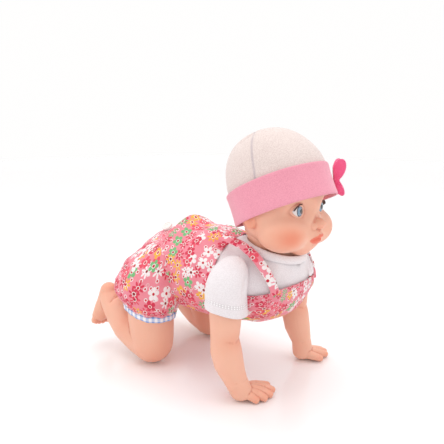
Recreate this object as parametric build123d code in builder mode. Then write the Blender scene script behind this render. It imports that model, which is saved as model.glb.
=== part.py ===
from build123d import *
import os
from math import atan2, cos, degrees, hypot, pi, radians, sin

# Crawling baby doll on hands and knees. It faces -Y, its left side is +X, +Z is up.
# The origin lies on the floor under the middle of the doll. All sizes are in millimetres.
os.makedirs("parts", exist_ok=True)

# Driving dimensions
SHELL_WALL = 2.5
VINYL_WALL = 3.0
CLOTH = 1.3
GAP = 0.3
CLOTH_GAP = 0.9
RUNNING = 0.05
SPLIT_Z = 100

HIP_Y, HIP_Z = 48, 88
SHOULDER_Y, SHOULDER_Z = -62, 110
HIP_FACE_X = 26
SHOULDER_FACE_X = 43.5
KNEE = (48.5, 44, 21.4)
NECK_CENTRE = (0, -76, 131)
NECK_TILT = 15
HEAD_CENTRE = (0, -74, 182)
HEAD_RADII = (42.5, 44.5, 49)

LEVER_X = 16
LEVER_THICKNESS = 3
LINK_PIN_ARM = 13
CRANK_Y, CRANK_Z = 22, 88
CRANK_RADIUS = 5.4
PLATE_X = 7
PLATE_THICKNESS = 2

# Torso cross-sections from chest to seat: position along Y, half width, half height, height of centre
TORSO_SECTIONS = [
    (-97, 24, 16, 99),
    (-90, 33, 24, 98),
    (-75, 38, 30, 97.5),
    (-50, 40.5, 35, 98),
    (-10, 42, 38.5, 100.5),
    (30, 42.5, 39, 101),
    (60, 40, 35, 98),
    (82, 32, 27, 94),
    (96, 18, 14, 90),
]
TORSO_END = 97


def save(part, name):
    """Give a finished piece its name and write it."""
    part.label = name
    export_step(part, "parts/" + name + ".step")


# ---------------------------------------------------------------- torso forms


def torso_form(grow):
    """Solid of the torso, its surface moved outwards by grow."""
    with BuildPart() as form:
        for y, half_width, half_height, centre_z in TORSO_SECTIONS:
            moved_y = y * (1 + grow / TORSO_END)
            with BuildSketch(Plane.XZ.offset(-moved_y)):
                with Locations((0, centre_z)):
                    Ellipse(half_width + grow, half_height + grow)
        loft()
    return form.part


def hip_pockets(radius, face_x):
    """Room beside the torso for both thighs: a round recess that is open below."""
    below = 22
    with BuildPart() as pockets:
        with BuildSketch(Plane.YZ.offset(face_x)):
            with Locations((HIP_Y, HIP_Z)):
                Circle(radius)
            with Locations((HIP_Y + 2, HIP_Z - below)):
                Rectangle(2 * radius + 22, 2 * below + 14)
        extrude(amount=80)
        mirror(about=Plane.YZ)
    return pockets.part


def neck_plane(height):
    """Plane across the neck, height above the collar's top."""
    tilt = radians(NECK_TILT)
    up = Vector(0, -sin(tilt), cos(tilt))
    return Plane(origin=Vector(*NECK_CENTRE) + up * height, x_dir=(1, 0, 0), z_dir=up)


TORSO_SOLID = torso_form(0)

# ---------------------------------------------------------------- torso shells
COLLAR_RADIUS = 24
TURRET_RADIUS = 12
PLUG_RADIUS = 20
HUB_SHAFT_RADIUS = 4
SHOULDER_SHAFT_RADIUS = 3.5
DOOR_SIZE = (54, 54)
DOOR_Y = 0
SHELL_SCREWS = [(-30, -36), (30, -36), (-14, 80), (14, 80)]
SCREW_SEAT_Z = 80
SCREW_RADIUS = 1.25
HEAD_RADIUS = 2.6
POST_RADIUS = 4
SWITCH_Y = 44
SWITCH_SLOT = (5, 11)


def torso_wall():
    """Closed hollow wall of the torso with hip recesses, shoulder turrets and bearing holes."""
    with BuildPart() as wall:
        add(TORSO_SOLID)
        with BuildSketch(Plane.YZ.offset(-SHOULDER_FACE_X + GAP)):
            with Locations((SHOULDER_Y, SHOULDER_Z)):
                Circle(TURRET_RADIUS)
        extrude(amount=2 * (SHOULDER_FACE_X - GAP))
        add(hip_pockets(32.5, HIP_FACE_X), mode=Mode.SUBTRACT)
        add(torso_form(-SHELL_WALL), mode=Mode.SUBTRACT)
        with BuildSketch(Plane.YZ.offset(-SHOULDER_FACE_X + SHELL_WALL)):
            with Locations((SHOULDER_Y, SHOULDER_Z)):
                Circle(TURRET_RADIUS - SHELL_WALL)
        extrude(amount=2 * (SHOULDER_FACE_X - SHELL_WALL), mode=Mode.SUBTRACT)
    with BuildPart() as recess_walls:
        add(torso_form(-SHELL_WALL / 2))
        add(hip_pockets(32.5 + SHELL_WALL, HIP_FACE_X - SHELL_WALL), mode=Mode.INTERSECT)
        add(hip_pockets(32.5, HIP_FACE_X), mode=Mode.SUBTRACT)
    with BuildPart() as bearings:
        with BuildSketch(Plane.YZ.offset(HIP_FACE_X - SHELL_WALL - 3)):
            with Locations((HIP_Y, HIP_Z)):
                Circle(8)
        extrude(amount=SHELL_WALL + 3)
        with BuildSketch(Plane.YZ.offset(SHOULDER_FACE_X - SHELL_WALL - 8)):
            with Locations((SHOULDER_Y, SHOULDER_Z)):
                Circle(7)
        extrude(amount=10)
        mirror(about=Plane.YZ)
    with BuildPart() as whole:
        add(wall.part)
        add(recess_walls.part)
        add(bearings.part)
        with BuildSketch(Plane.YZ.offset(-60)):
            with Locations((HIP_Y, HIP_Z)):
                Circle(HUB_SHAFT_RADIUS + RUNNING)
            with Locations((SHOULDER_Y, SHOULDER_Z)):
                Circle(SHOULDER_SHAFT_RADIUS + RUNNING)
        extrude(amount=120, mode=Mode.SUBTRACT)
        with BuildSketch(neck_plane(-22)):
            Circle(COLLAR_RADIUS)
        extrude(amount=60, mode=Mode.SUBTRACT)
    return whole.part


def screw_posts(bottom_z, top_z):
    """Round posts at the shell screws, trimmed to the torso's outside."""
    with BuildPart() as posts:
        with BuildSketch(Plane.XY.offset(bottom_z)):
            with Locations(*SHELL_SCREWS):
                Circle(POST_RADIUS)
        extrude(amount=top_z - bottom_z)
        add(torso_form(-1), mode=Mode.INTERSECT)
        with BuildSketch(Plane.XY.offset(bottom_z)):
            with Locations(*SHELL_SCREWS):
                Circle(SCREW_RADIUS)
        extrude(amount=top_z - bottom_z, mode=Mode.SUBTRACT)
    return posts.part


WALL = torso_wall()
SPEAKER_Y = -62
SPEAKER_RADIUS = 14

with BuildPart() as torso_belly_shell:
    add(WALL)
    split(bisect_by=Plane.XY.offset(SPLIT_Z), keep=Keep.BOTTOM)
    add(screw_posts(50, SPLIT_Z))
    with BuildSketch(Plane.XY.offset(SCREW_SEAT_Z)):
        with Locations(*SHELL_SCREWS):
            Circle(HEAD_RADIUS)
    extrude(amount=-40, mode=Mode.SUBTRACT)
    with BuildSketch(Plane.XY.offset(50)):
        with Locations((0, SPEAKER_Y)):
            with PolarLocations(7, 6):
                Circle(1.6)
            Circle(1.6)
    extrude(amount=20, mode=Mode.SUBTRACT)
save(torso_belly_shell.part, "torso_belly_shell")

with BuildPart() as torso_back_shell:
    add(WALL)
    split(bisect_by=Plane.XY.offset(SPLIT_Z), keep=Keep.TOP)
    add(screw_posts(SPLIT_Z, 134))
    with BuildSketch(Plane.XY.offset(120)):
        with Locations((0, DOOR_Y)):
            RectangleRounded(DOOR_SIZE[0], DOOR_SIZE[1], 4)
        with Locations((0, SWITCH_Y)):
            Rectangle(*SWITCH_SLOT)
    extrude(amount=40, mode=Mode.SUBTRACT)
save(torso_back_shell.part, "torso_back_shell")

DOOR_SCREW_Y = DOOR_Y + DOOR_SIZE[1] / 2 - 4.5
DOOR_TOP_Z = 140.8

with BuildPart() as battery_door:
    add(torso_form(0))
    add(torso_form(-SHELL_WALL), mode=Mode.SUBTRACT)
    with BuildSketch(Plane.XY.offset(120)):
        with Locations((0, DOOR_Y)):
            RectangleRounded(DOOR_SIZE[0] - 2 * GAP, DOOR_SIZE[1] - 2 * GAP, 4)
    extrude(amount=40, mode=Mode.INTERSECT)
    with BuildSketch(Plane.XY.offset(120)):
        with Locations((0, DOOR_SCREW_Y)):
            Circle(SCREW_RADIUS)
    extrude(amount=40, mode=Mode.SUBTRACT)
save(battery_door.part, "battery_door")

with BuildPart() as door_screw:
    with BuildSketch(Plane.XY.offset(DOOR_TOP_Z)):
        with Locations((0, DOOR_SCREW_Y)):
            Circle(SCREW_RADIUS)
    extrude(amount=-12)
    with BuildSketch(Plane.XY.offset(DOOR_TOP_Z)):
        with Locations((0, DOOR_SCREW_Y)):
            Circle(HEAD_RADIUS)
    extrude(amount=1.4)
save(door_screw.part, "door_screw")

with BuildPart() as shell_screws:
    with BuildSketch(Plane.XY.offset(SCREW_SEAT_Z)):
        with Locations(*SHELL_SCREWS):
            Circle(SCREW_RADIUS)
    extrude(amount=34)
    with BuildSketch(Plane.XY.offset(SCREW_SEAT_Z)):
        with Locations(*SHELL_SCREWS):
            Circle(HEAD_RADIUS)
    extrude(amount=-1.8)
save(shell_screws.part, "shell_screws")

with BuildPart() as neck_collar:
    with BuildSketch(neck_plane(-12)):
        Circle(COLLAR_RADIUS)
        Circle(PLUG_RADIUS + RUNNING, mode=Mode.SUBTRACT)
    extrude(amount=11.5)
save(neck_collar.part, "neck_collar")

# ---------------------------------------------------------------- battery box
CELL_RADIUS = 7.25
CELL_LENGTH = 50
CELL_START_X = -24.6
CELL_Z = 117.3
BOX_FLOOR_Z = 109.5
BOX_WALL = 1.5
BOX_Y = -6
BOX_INNER = (54.4, 45.5)
BOX_HEIGHT = 9.5
CELL_YS = [BOX_Y - 15, BOX_Y, BOX_Y + 15]

with BuildPart() as battery_box:
    with BuildSketch(Plane.XY.offset(BOX_FLOOR_Z - BOX_WALL)):
        with Locations((0, BOX_Y)):
            Rectangle(BOX_INNER[0] + 2 * BOX_WALL, BOX_INNER[1] + 2 * BOX_WALL)
    extrude(amount=BOX_WALL + BOX_HEIGHT)
    with BuildSketch(Plane.XY.offset(BOX_FLOOR_Z)):
        with Locations((0, BOX_Y)):
            Rectangle(*BOX_INNER)
    extrude(amount=BOX_HEIGHT, mode=Mode.SUBTRACT)
    with BuildSketch(Plane.XY.offset(BOX_FLOOR_Z - BOX_WALL)):
        with Locations((0, DOOR_SCREW_Y)):
            Circle(4.5)
    extrude(amount=DOOR_TOP_Z - SHELL_WALL - 2 - BOX_FLOOR_Z)
    with BuildSketch(Plane.XY.offset(DOOR_TOP_Z - 12)):
        with Locations((0, DOOR_SCREW_Y)):
            Circle(SCREW_RADIUS)
    extrude(amount=12, mode=Mode.SUBTRACT)
save(battery_box.part, "battery_box")

with BuildPart() as batteries:
    with BuildSketch(Plane.YZ.offset(CELL_START_X)):
        for cell_y in CELL_YS:
            with Locations((cell_y, CELL_Z)):
                Circle(CELL_RADIUS)
    extrude(amount=CELL_LENGTH - 1.5)
    with BuildSketch(Plane.YZ.offset(CELL_START_X + CELL_LENGTH - 1.5)):
        for cell_y in CELL_YS:
            with Locations((cell_y, CELL_Z)):
                Circle(2.7)
    extrude(amount=1.5)
save(batteries.part, "batteries")

with BuildPart() as contact_plates:
    for end_x in (BOX_INNER[0] / 2 - 0.6, -BOX_INNER[0] / 2 + 0.1):
        with BuildSketch(Plane.YZ.offset(end_x)):
            for cell_y in CELL_YS:
                with Locations((cell_y, CELL_Z - 1)):
                    RectangleRounded(9, 11, 1)
        extrude(amount=0.5)

with BuildPart() as battery_contacts:
    for cell_y in CELL_YS:
        for turn in range(2):
            with BuildSketch(Plane.YZ.offset(-BOX_INNER[0] / 2 + 0.6 + 0.8 * turn)):
                with Locations((cell_y, CELL_Z)):
                    Circle(3.4 - 0.5 * turn)
                    Circle(2.4 - 0.5 * turn, mode=Mode.SUBTRACT)
            extrude(amount=0.8)
    add(contact_plates.part)
save(battery_contacts.part, "battery_contacts")

# ---------------------------------------------------------------- power switch
SWITCH_TRAVEL = 3
SWITCH_TOP_Z = 137

with BuildPart() as switch_body:
    with BuildSketch(Plane.XY.offset(125)):
        with Locations((0, SWITCH_Y)):
            Rectangle(10, 16)
    extrude(amount=7)
    with BuildSketch(Plane.XY.offset(128)):
        with Locations((0, SWITCH_Y)):
            Rectangle(4 + 2 * GAP, 10.6)
    extrude(amount=10, mode=Mode.SUBTRACT)
save(switch_body.part, "switch_body")

with BuildPart() as switch_slider:
    with BuildSketch(Plane.XY.offset(128 + GAP)):
        with Locations((0, SWITCH_Y - SWITCH_TRAVEL / 2)):
            Rectangle(4, 6)
    extrude(amount=SWITCH_TOP_Z - 128 - GAP)
save(switch_slider.part, "switch_slider")

# ---------------------------------------------------------------- sound board, loudspeaker
with BuildPart() as circuit_board:
    with BuildSketch(Plane.XZ.offset(40)):
        with Locations((0, 86)):
            Rectangle(28, 32)
            with GridLocations(22, 26, 2, 2):
                Circle(1.1, mode=Mode.SUBTRACT)
    extrude(amount=1.6)
save(circuit_board.part, "circuit_board")

with BuildPart() as board_components:
    with BuildSketch(Plane.XZ.offset(37.6)):
        with Locations((-3, 90)):
            Rectangle(9, 9)
        with Locations((7, 80)):
            Rectangle(5, 7)
        with Locations((-8, 78), (2, 78)):
            Circle(2)
    extrude(amount=2.4)
save(board_components.part, "board_components")

SPEAKER_Z = 73
with BuildPart() as speaker_frame:
    with BuildSketch(Plane.XY.offset(SPEAKER_Z)):
        with Locations((0, SPEAKER_Y)):
            Circle(SPEAKER_RADIUS)
            Circle(SPEAKER_RADIUS - 2, mode=Mode.SUBTRACT)
    extrude(amount=4)
    with BuildSketch(Plane.XY.offset(SPEAKER_Z + 4)):
        with Locations((0, SPEAKER_Y)):
            Circle(SPEAKER_RADIUS)
    extrude(amount=1)
save(speaker_frame.part, "speaker_frame")

with BuildPart() as speaker_cone:
    with BuildSketch(Plane.XY.offset(SPEAKER_Z)):
        with Locations((0, SPEAKER_Y)):
            Circle(SPEAKER_RADIUS - 2 - GAP)
    with BuildSketch(Plane.XY.offset(SPEAKER_Z + 3)):
        with Locations((0, SPEAKER_Y)):
            Circle(5)
    loft()
save(speaker_cone.part, "speaker_cone")

with BuildPart() as speaker_magnet:
    with BuildSketch(Plane.XY.offset(SPEAKER_Z + 5)):
        with Locations((0, SPEAKER_Y)):
            Circle(8)
    extrude(amount=4.5)
save(speaker_magnet.part, "speaker_magnet")

# ---------------------------------------------------------------- gear train
MODULE = 0.7
BIG_TEETH = 27
SMALL_TEETH = 9
MESH = MODULE * (BIG_TEETH + SMALL_TEETH) / 2
TRAIN_SLOPE = 12
AXLE_RADIUS = 1.0
MOTOR_RADIUS = 7
MOTOR_LENGTH = 14
CRANK_SHAFT_RADIUS = 2.0


def train_point(step):
    """Centre, in Y and Z, of the axle that is step meshes ahead of the crank shaft."""
    slope = radians(TRAIN_SLOPE)
    return (CRANK_Y - step * MESH * cos(slope), CRANK_Z - step * MESH * sin(slope))


def gear_outline(teeth, first_angle):
    """Corner points of a toothed wheel, one tooth centred on first_angle in degrees."""
    pitch = 2 * pi / teeth
    tip = MODULE * (teeth / 2 + 0.7)
    root = MODULE * (teeth / 2 - 1.0)
    points = []
    for tooth in range(teeth):
        middle = radians(first_angle) + tooth * pitch
        for radius, turn in ((root, -0.23), (tip, -0.09), (tip, 0.09), (root, 0.23)):
            angle = middle + turn * pitch
            points.append((radius * cos(angle), radius * sin(angle)))
    return points


def gear(step, teeth, first_angle, start_x, end_x, bore):
    """Toothed wheel on the train's axle number step, from start_x to end_x."""
    with BuildPart() as wheel:
        with BuildSketch(Plane.YZ.offset(start_x)):
            with Locations(train_point(step)):
                with BuildLine():
                    Polyline(*gear_outline(teeth, first_angle), close=True)
                make_face()
        extrude(amount=end_x - start_x)
    with BuildPart() as bored:
        add(Pos(0, *train_point(step)) * wheel.part)
        with BuildSketch(Plane.YZ.offset(start_x)):
            with Locations(train_point(step)):
                Circle(bore)
        extrude(amount=end_x - start_x, mode=Mode.SUBTRACT)
    return bored.part


TOWARDS_MOTOR = 180 + TRAIN_SLOPE
GAP_TO_CRANK = TRAIN_SLOPE + 180 / SMALL_TEETH

with BuildPart() as crank_gear:
    add(gear(0, BIG_TEETH, TOWARDS_MOTOR, -5.5, -2.5, CRANK_SHAFT_RADIUS))
save(crank_gear.part, "crank_gear")

with BuildPart() as second_gear:
    add(gear(1, SMALL_TEETH, GAP_TO_CRANK, -5.5, -1.5, AXLE_RADIUS + RUNNING))
    add(gear(1, BIG_TEETH, TOWARDS_MOTOR, -1.5, 1.5, AXLE_RADIUS + RUNNING))
save(second_gear.part, "second_gear")

with BuildPart() as first_gear:
    add(gear(2, SMALL_TEETH, GAP_TO_CRANK, -1.5, 2.5, AXLE_RADIUS + RUNNING))
    add(gear(2, BIG_TEETH, TOWARDS_MOTOR, 2.5, 5.5, AXLE_RADIUS + RUNNING))
save(first_gear.part, "first_gear")

with BuildPart() as motor_pinion:
    add(gear(3, SMALL_TEETH, GAP_TO_CRANK, 2.5, 6, AXLE_RADIUS))
    with BuildSketch(Plane.YZ.offset(2)):
        with Locations(train_point(3)):
            Circle(AXLE_RADIUS)
    extrude(amount=7)
save(motor_pinion.part, "motor_pinion")

with BuildPart() as motor:
    with BuildSketch(Plane.YZ.offset(PLATE_X + PLATE_THICKNESS)):
        with Locations(train_point(3)):
            Circle(MOTOR_RADIUS)
    extrude(amount=MOTOR_LENGTH)
    with BuildSketch(Plane.YZ.offset(PLATE_X + PLATE_THICKNESS + MOTOR_LENGTH)):
        with Locations(train_point(3)):
            Circle(3)
    extrude(amount=1.5)
save(motor.part, "motor")


def gearbox_plate(name, start_x, motor_hole):
    """One side plate of the gearbox with its shaft holes."""
    near = train_point(0)
    far = train_point(3)
    middle = ((near[0] + far[0]) / 2, (near[1] + far[1]) / 2)
    length = hypot(near[0] - far[0], near[1] - far[1])
    slope = degrees(atan2(near[1] - far[1], near[0] - far[0]))
    with BuildPart() as plate:
        with BuildSketch(Plane.YZ.offset(start_x)):
            with Locations(middle):
                SlotCenterToCenter(length, 24, rotation=slope)
            with Locations(near):
                Circle(CRANK_SHAFT_RADIUS + RUNNING, mode=Mode.SUBTRACT)
            with Locations(train_point(1), train_point(2)):
                Circle(AXLE_RADIUS, mode=Mode.SUBTRACT)
            with Locations(far):
                Circle(motor_hole, mode=Mode.SUBTRACT)
        extrude(amount=PLATE_THICKNESS)
    save(plate.part, name)


gearbox_plate("gearbox_left_plate", PLATE_X, 2.5)
gearbox_plate("gearbox_right_plate", -PLATE_X - PLATE_THICKNESS, 2.5)

PILLAR_YZ = [(CRANK_Y + 10.9, CRANK_Z + 1.8), (-25.8, 78.2)]
with BuildPart() as gearbox_pins:
    with BuildSketch(Plane.YZ.offset(-PLATE_X - PLATE_THICKNESS)):
        with Locations(train_point(1), train_point(2)):
            Circle(AXLE_RADIUS)
    extrude(amount=2 * (PLATE_X + PLATE_THICKNESS))
    with BuildSketch(Plane.YZ.offset(-PLATE_X)):
        with Locations(*PILLAR_YZ):
            Circle(0.9)
    extrude(amount=2 * PLATE_X)
save(gearbox_pins.part, "gearbox_pins")

with BuildPart() as crank_shaft:
    with BuildSketch(Plane.YZ.offset(-LEVER_X + 3)):
        with Locations((CRANK_Y, CRANK_Z)):
            Circle(CRANK_SHAFT_RADIUS)
    extrude(amount=2 * (LEVER_X - 3))
save(crank_shaft.part, "crank_shaft")


def crank_disc(start_x, pin_x, pin_y):
    """Crank disc with its eccentric pin, which ends just short of the lever's slot."""
    with BuildPart() as disc:
        with BuildSketch(Plane.YZ.offset(start_x)):
            with Locations((CRANK_Y, CRANK_Z)):
                Circle(8)
                Circle(CRANK_SHAFT_RADIUS, mode=Mode.SUBTRACT)
        extrude(amount=2)
        with BuildSketch(Plane.YZ.offset(pin_x)):
            with Locations((pin_y, CRANK_Z)):
                Circle(1.5)
        extrude(amount=2.6)
    return disc.part


with BuildPart() as crank_discs:
    add(crank_disc(11, 13, CRANK_Y + CRANK_RADIUS))
    add(crank_disc(-13, -15.6, CRANK_Y - CRANK_RADIUS))
save(crank_discs.part, "crank_discs")

# ---------------------------------------------------------------- walking levers and links
SLOT_HALF_WIDTH = 1.7
LINK_PIN_RADIUS = 1.5
LINK_PIN_CLEARANCE = 0.65
LINK_X = LEVER_X + LEVER_THICKNESS + 0.5
LINK_THICKNESS = 2
HIP_PIN = (HIP_Y, HIP_Z + LINK_PIN_ARM)
SHOULDER_PIN = (SHOULDER_Y, SHOULDER_Z - LINK_PIN_ARM)

with BuildPart() as left_hip_lever:
    with BuildSketch(Plane.YZ.offset(LEVER_X)):
        with Locations((HIP_Y, HIP_Z)):
            Circle(7)
        with Locations(((HIP_Y + CRANK_Y - 8) / 2, HIP_Z)):
            Rectangle(HIP_Y - CRANK_Y + 8, 8)
        with Locations((HIP_Y, HIP_Z + LINK_PIN_ARM / 2)):
            Rectangle(7, LINK_PIN_ARM)
        with Locations(HIP_PIN):
            Circle(3.5)
        with Locations((CRANK_Y, HIP_Z)):
            SlotCenterToCenter(2 * CRANK_RADIUS, 2 * SLOT_HALF_WIDTH, mode=Mode.SUBTRACT)
        with Locations((HIP_Y, HIP_Z)):
            Circle(HUB_SHAFT_RADIUS, mode=Mode.SUBTRACT)
    extrude(amount=LEVER_THICKNESS)
    with BuildSketch(Plane.YZ.offset(LEVER_X + LEVER_THICKNESS)):
        with Locations(HIP_PIN):
            Circle(LINK_PIN_RADIUS)
    extrude(amount=3)
save(left_hip_lever.part, "left_hip_lever")

with BuildPart() as left_shoulder_lever:
    with BuildSketch(Plane.YZ.offset(LEVER_X)):
        with Locations((SHOULDER_Y, SHOULDER_Z)):
            Circle(6)
        with Locations((SHOULDER_Y, SHOULDER_Z - LINK_PIN_ARM / 2)):
            Rectangle(7, LINK_PIN_ARM)
        with Locations(SHOULDER_PIN):
            Circle(3.5)
        with Locations((SHOULDER_Y, SHOULDER_Z)):
            Circle(SHOULDER_SHAFT_RADIUS, mode=Mode.SUBTRACT)
    extrude(amount=LEVER_THICKNESS)
    with BuildSketch(Plane.YZ.offset(LEVER_X + LEVER_THICKNESS)):
        with Locations(SHOULDER_PIN):
            Circle(LINK_PIN_RADIUS)
    extrude(amount=3)
save(left_shoulder_lever.part, "left_shoulder_lever")

LINK_LENGTH = hypot(HIP_PIN[0] - SHOULDER_PIN[0], HIP_PIN[1] - SHOULDER_PIN[1])
LINK_SLOPE = degrees(atan2(HIP_PIN[1] - SHOULDER_PIN[1], HIP_PIN[0] - SHOULDER_PIN[0]))

with BuildPart() as left_link_bar:
    with BuildSketch(Plane.YZ.offset(LINK_X)):
        with Locations(((HIP_PIN[0] + SHOULDER_PIN[0]) / 2, (HIP_PIN[1] + SHOULDER_PIN[1]) / 2)):
            SlotCenterToCenter(LINK_LENGTH, 6.4, rotation=LINK_SLOPE)
        with Locations(HIP_PIN):
            Circle(LINK_PIN_RADIUS + RUNNING, mode=Mode.SUBTRACT)
        with Locations(SHOULDER_PIN):
            Circle(LINK_PIN_RADIUS + LINK_PIN_CLEARANCE, mode=Mode.SUBTRACT)
    extrude(amount=LINK_THICKNESS)
save(left_link_bar.part, "left_link_bar")

for left_piece, right_name in (
    (left_hip_lever, "right_hip_lever"),
    (left_shoulder_lever, "right_shoulder_lever"),
    (left_link_bar, "right_link_bar"),
):
    with BuildPart() as right_piece:
        mirror(left_piece.part, about=Plane.YZ)
    save(right_piece.part, right_name)

# ---------------------------------------------------------------- legs
ANKLE = (50, 107, 57)
TOE_BASE = (52, 119.5, 34)


def tube_between(start, end, start_radius, end_radius):
    """Round tapering solid between two points."""
    along = Vector(*end) - Vector(*start)
    with BuildPart() as taper:
        with BuildSketch(Plane(origin=start, z_dir=along)):
            Circle(start_radius)
        with BuildSketch(Plane(origin=end, z_dir=along)):
            Circle(end_radius)
        loft()
    return taper.part


def leg_form(shrink, face_x):
    """Bent leg from the hip disc to the toes, its surface moved inwards by shrink."""
    with BuildPart() as form:
        with BuildSketch(Plane.YZ.offset(face_x)):
            with Locations((HIP_Y, HIP_Z)):
                Circle(26.5 - shrink)
        extrude(amount=58 - shrink - face_x)
        fillet(form.edges().filter_by(GeomType.CIRCLE).sort_by(Axis.X)[-1], 14)
        add(tube_between((45, HIP_Y, HIP_Z - 8), (48.5, 46, 24), 25.5 - shrink, 21.5 - shrink))
        with Locations(KNEE):
            Sphere(22 - shrink)
        add(tube_between(KNEE, ANKLE, 19.5 - shrink, 14 - shrink))
        with Locations(ANKLE):
            Sphere(14.5 - shrink)
        add(tube_between(ANKLE, TOE_BASE, 13.5 - shrink, 10.5 - shrink))
        with Locations(TOE_BASE):
            Sphere(11 - shrink)
        split(bisect_by=Plane.YZ.offset(face_x), keep=Keep.TOP)
    return form.part


HUB_RADIUS = 21
with BuildPart() as left_leg:
    add(leg_form(0, HIP_FACE_X + GAP))
    add(leg_form(VINYL_WALL, HIP_FACE_X + 7), mode=Mode.SUBTRACT)
    with BuildSketch(Plane.YZ.offset(HIP_FACE_X)):
        with Locations((HIP_Y, HIP_Z)):
            Circle(HUB_RADIUS)
    extrude(amount=12, mode=Mode.SUBTRACT)
    split(bisect_by=Plane.XY, keep=Keep.TOP)
save(left_leg.part, "left_leg")

with BuildPart() as left_hip_hub:
    with BuildSketch(Plane.YZ.offset(HIP_FACE_X + GAP)):
        with Locations((HIP_Y, HIP_Z)):
            Circle(HUB_RADIUS)
    extrude(amount=5)
    with BuildSketch(Plane.YZ.offset(LEVER_X)):
        with Locations((HIP_Y, HIP_Z)):
            Circle(HUB_SHAFT_RADIUS)
    extrude(amount=HIP_FACE_X + GAP - LEVER_X)
save(left_hip_hub.part, "left_hip_hub")

ROMPER_LEG_RADIUS = 31.5
LEG_OPENING_Z = 63
LEG_OPENING_TILT = 9
BINDING_WIDTH = 5


def romper_leg_form(grow):
    """Outside of the romper's leg around hip and thigh."""
    with BuildPart() as form:
        with BuildSketch(Plane.YZ.offset(HIP_FACE_X + GAP)):
            with Locations((HIP_Y, HIP_Z)):
                Circle(27 + grow)
        extrude(amount=32 + grow)
        fillet(form.edges().filter_by(GeomType.CIRCLE).sort_by(Axis.X)[-1], 15)
        add(tube_between((44, HIP_Y, HIP_Z - 6), (45, 47, 45), 27 + grow, 25.5 + grow))
    return form.part


def above_leg_opening(amount):
    """Keep what lies between the leg opening and amount above it, outside the hip face."""
    tilt = radians(LEG_OPENING_TILT)
    opening = Plane(
        origin=(HIP_FACE_X + GAP + 30, HIP_Y, LEG_OPENING_Z),
        x_dir=(1, 0, 0),
        z_dir=(0, -sin(tilt), cos(tilt)),
    )
    with BuildPart() as slab:
        with BuildSketch(opening):
            Rectangle(60, 110)
        extrude(amount=amount)
    return slab.part


with BuildPart() as left_romper_leg:
    add(romper_leg_form(4.5))
    add(romper_leg_form(0), mode=Mode.SUBTRACT)
    add(above_leg_opening(80), mode=Mode.INTERSECT)
save(left_romper_leg.part, "left_romper_leg")

with BuildPart() as left_leg_binding:
    add(romper_leg_form(5))
    add(romper_leg_form(0.5), mode=Mode.SUBTRACT)
    add(above_leg_opening(-BINDING_WIDTH), mode=Mode.INTERSECT)
save(left_leg_binding.part, "left_leg_binding")

for left_piece, right_name in (
    (left_leg, "right_leg"),
    (left_hip_hub, "right_hip_hub"),
    (left_romper_leg, "right_romper_leg"),
    (left_leg_binding, "right_leg_binding"),
):
    with BuildPart() as right_piece:
        mirror(left_piece.part, about=Plane.YZ)
    save(right_piece.part, right_name)

# ---------------------------------------------------------------- arms
ELBOW = (60, -63, 58)
WRIST = (57, -71, 19)
UPPER_ARM = (60, SHOULDER_Y, SHOULDER_Z)
PALM_CENTRE = (55, -76, 9)


def arm_form(shrink, face_x):
    """Arm from the shoulder disc to the wrist, its surface moved inwards by shrink."""
    with BuildPart() as form:
        with BuildSketch(Plane.YZ.offset(face_x)):
            with Locations((SHOULDER_Y, SHOULDER_Z)):
                Circle(15.5 - shrink)
        extrude(amount=UPPER_ARM[0] - face_x)
        with Locations(UPPER_ARM):
            Sphere(15.5 - shrink)
        add(tube_between(UPPER_ARM, ELBOW, 15.5 - shrink, 14.6 - shrink))
        with Locations(ELBOW):
            Sphere(14.8 - shrink)
        add(tube_between(ELBOW, WRIST, 15 - shrink, 11 - shrink))
    return form.part


def hand_form(turn):
    """Open left hand flat on the floor, its fingers turned outwards by turn degrees."""
    def out(reach, spread):
        angle = radians(turn + spread)
        return (PALM_CENTRE[0] + reach * sin(angle), PALM_CENTRE[1] - reach * cos(angle), 4.4)

    with BuildPart() as hand:
        with Locations(WRIST):
            Sphere(11.2)
        add(tube_between(WRIST, PALM_CENTRE, 11, 10.5))
        with Locations(PALM_CENTRE):
            Sphere(10.5)
        for spread, reach in ((-28, 21), (-9, 24), (9, 23.5), (27, 20)):
            add(tube_between(out(0, spread), out(reach, spread), 4.6, 3.8))
            with Locations(out(reach, spread)):
                Sphere(3.8)
        add(tube_between(out(0, -70), out(16, -70), 5, 4))
        with Locations(out(16, -70)):
            Sphere(4)
        with BuildSketch():
            Rectangle(300, 400)
        extrude(amount=40, mode=Mode.INTERSECT)
    return hand.part


def arm(turn):
    """Whole left arm with a hollow upper part."""
    with BuildPart() as whole:
        add(arm_form(0, SHOULDER_FACE_X + GAP))
        add(hand_form(turn))
        add(arm_form(VINYL_WALL, SHOULDER_FACE_X + 6), mode=Mode.SUBTRACT)
        with BuildSketch(Plane.YZ.offset(SHOULDER_FACE_X)):
            with Locations((SHOULDER_Y, SHOULDER_Z)):
                Circle(10)
        extrude(amount=10, mode=Mode.SUBTRACT)
    return whole.part


LEFT_HAND_TURN = 34
RIGHT_HAND_TURN = -34
with BuildPart() as left_arm:
    add(arm(LEFT_HAND_TURN))
save(left_arm.part, "left_arm")

with BuildPart() as right_arm:
    mirror(arm(RIGHT_HAND_TURN), about=Plane.YZ)
save(right_arm.part, "right_arm")

with BuildPart() as left_shoulder_hub:
    with BuildSketch(Plane.YZ.offset(SHOULDER_FACE_X + GAP)):
        with Locations((SHOULDER_Y, SHOULDER_Z)):
            Circle(10)
    extrude(amount=4)
    with BuildSketch(Plane.YZ.offset(LEVER_X)):
        with Locations((SHOULDER_Y, SHOULDER_Z)):
            Circle(SHOULDER_SHAFT_RADIUS)
    extrude(amount=SHOULDER_FACE_X + GAP - LEVER_X)
save(left_shoulder_hub.part, "left_shoulder_hub")

SLEEVE_HEM_Z = 82


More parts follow.
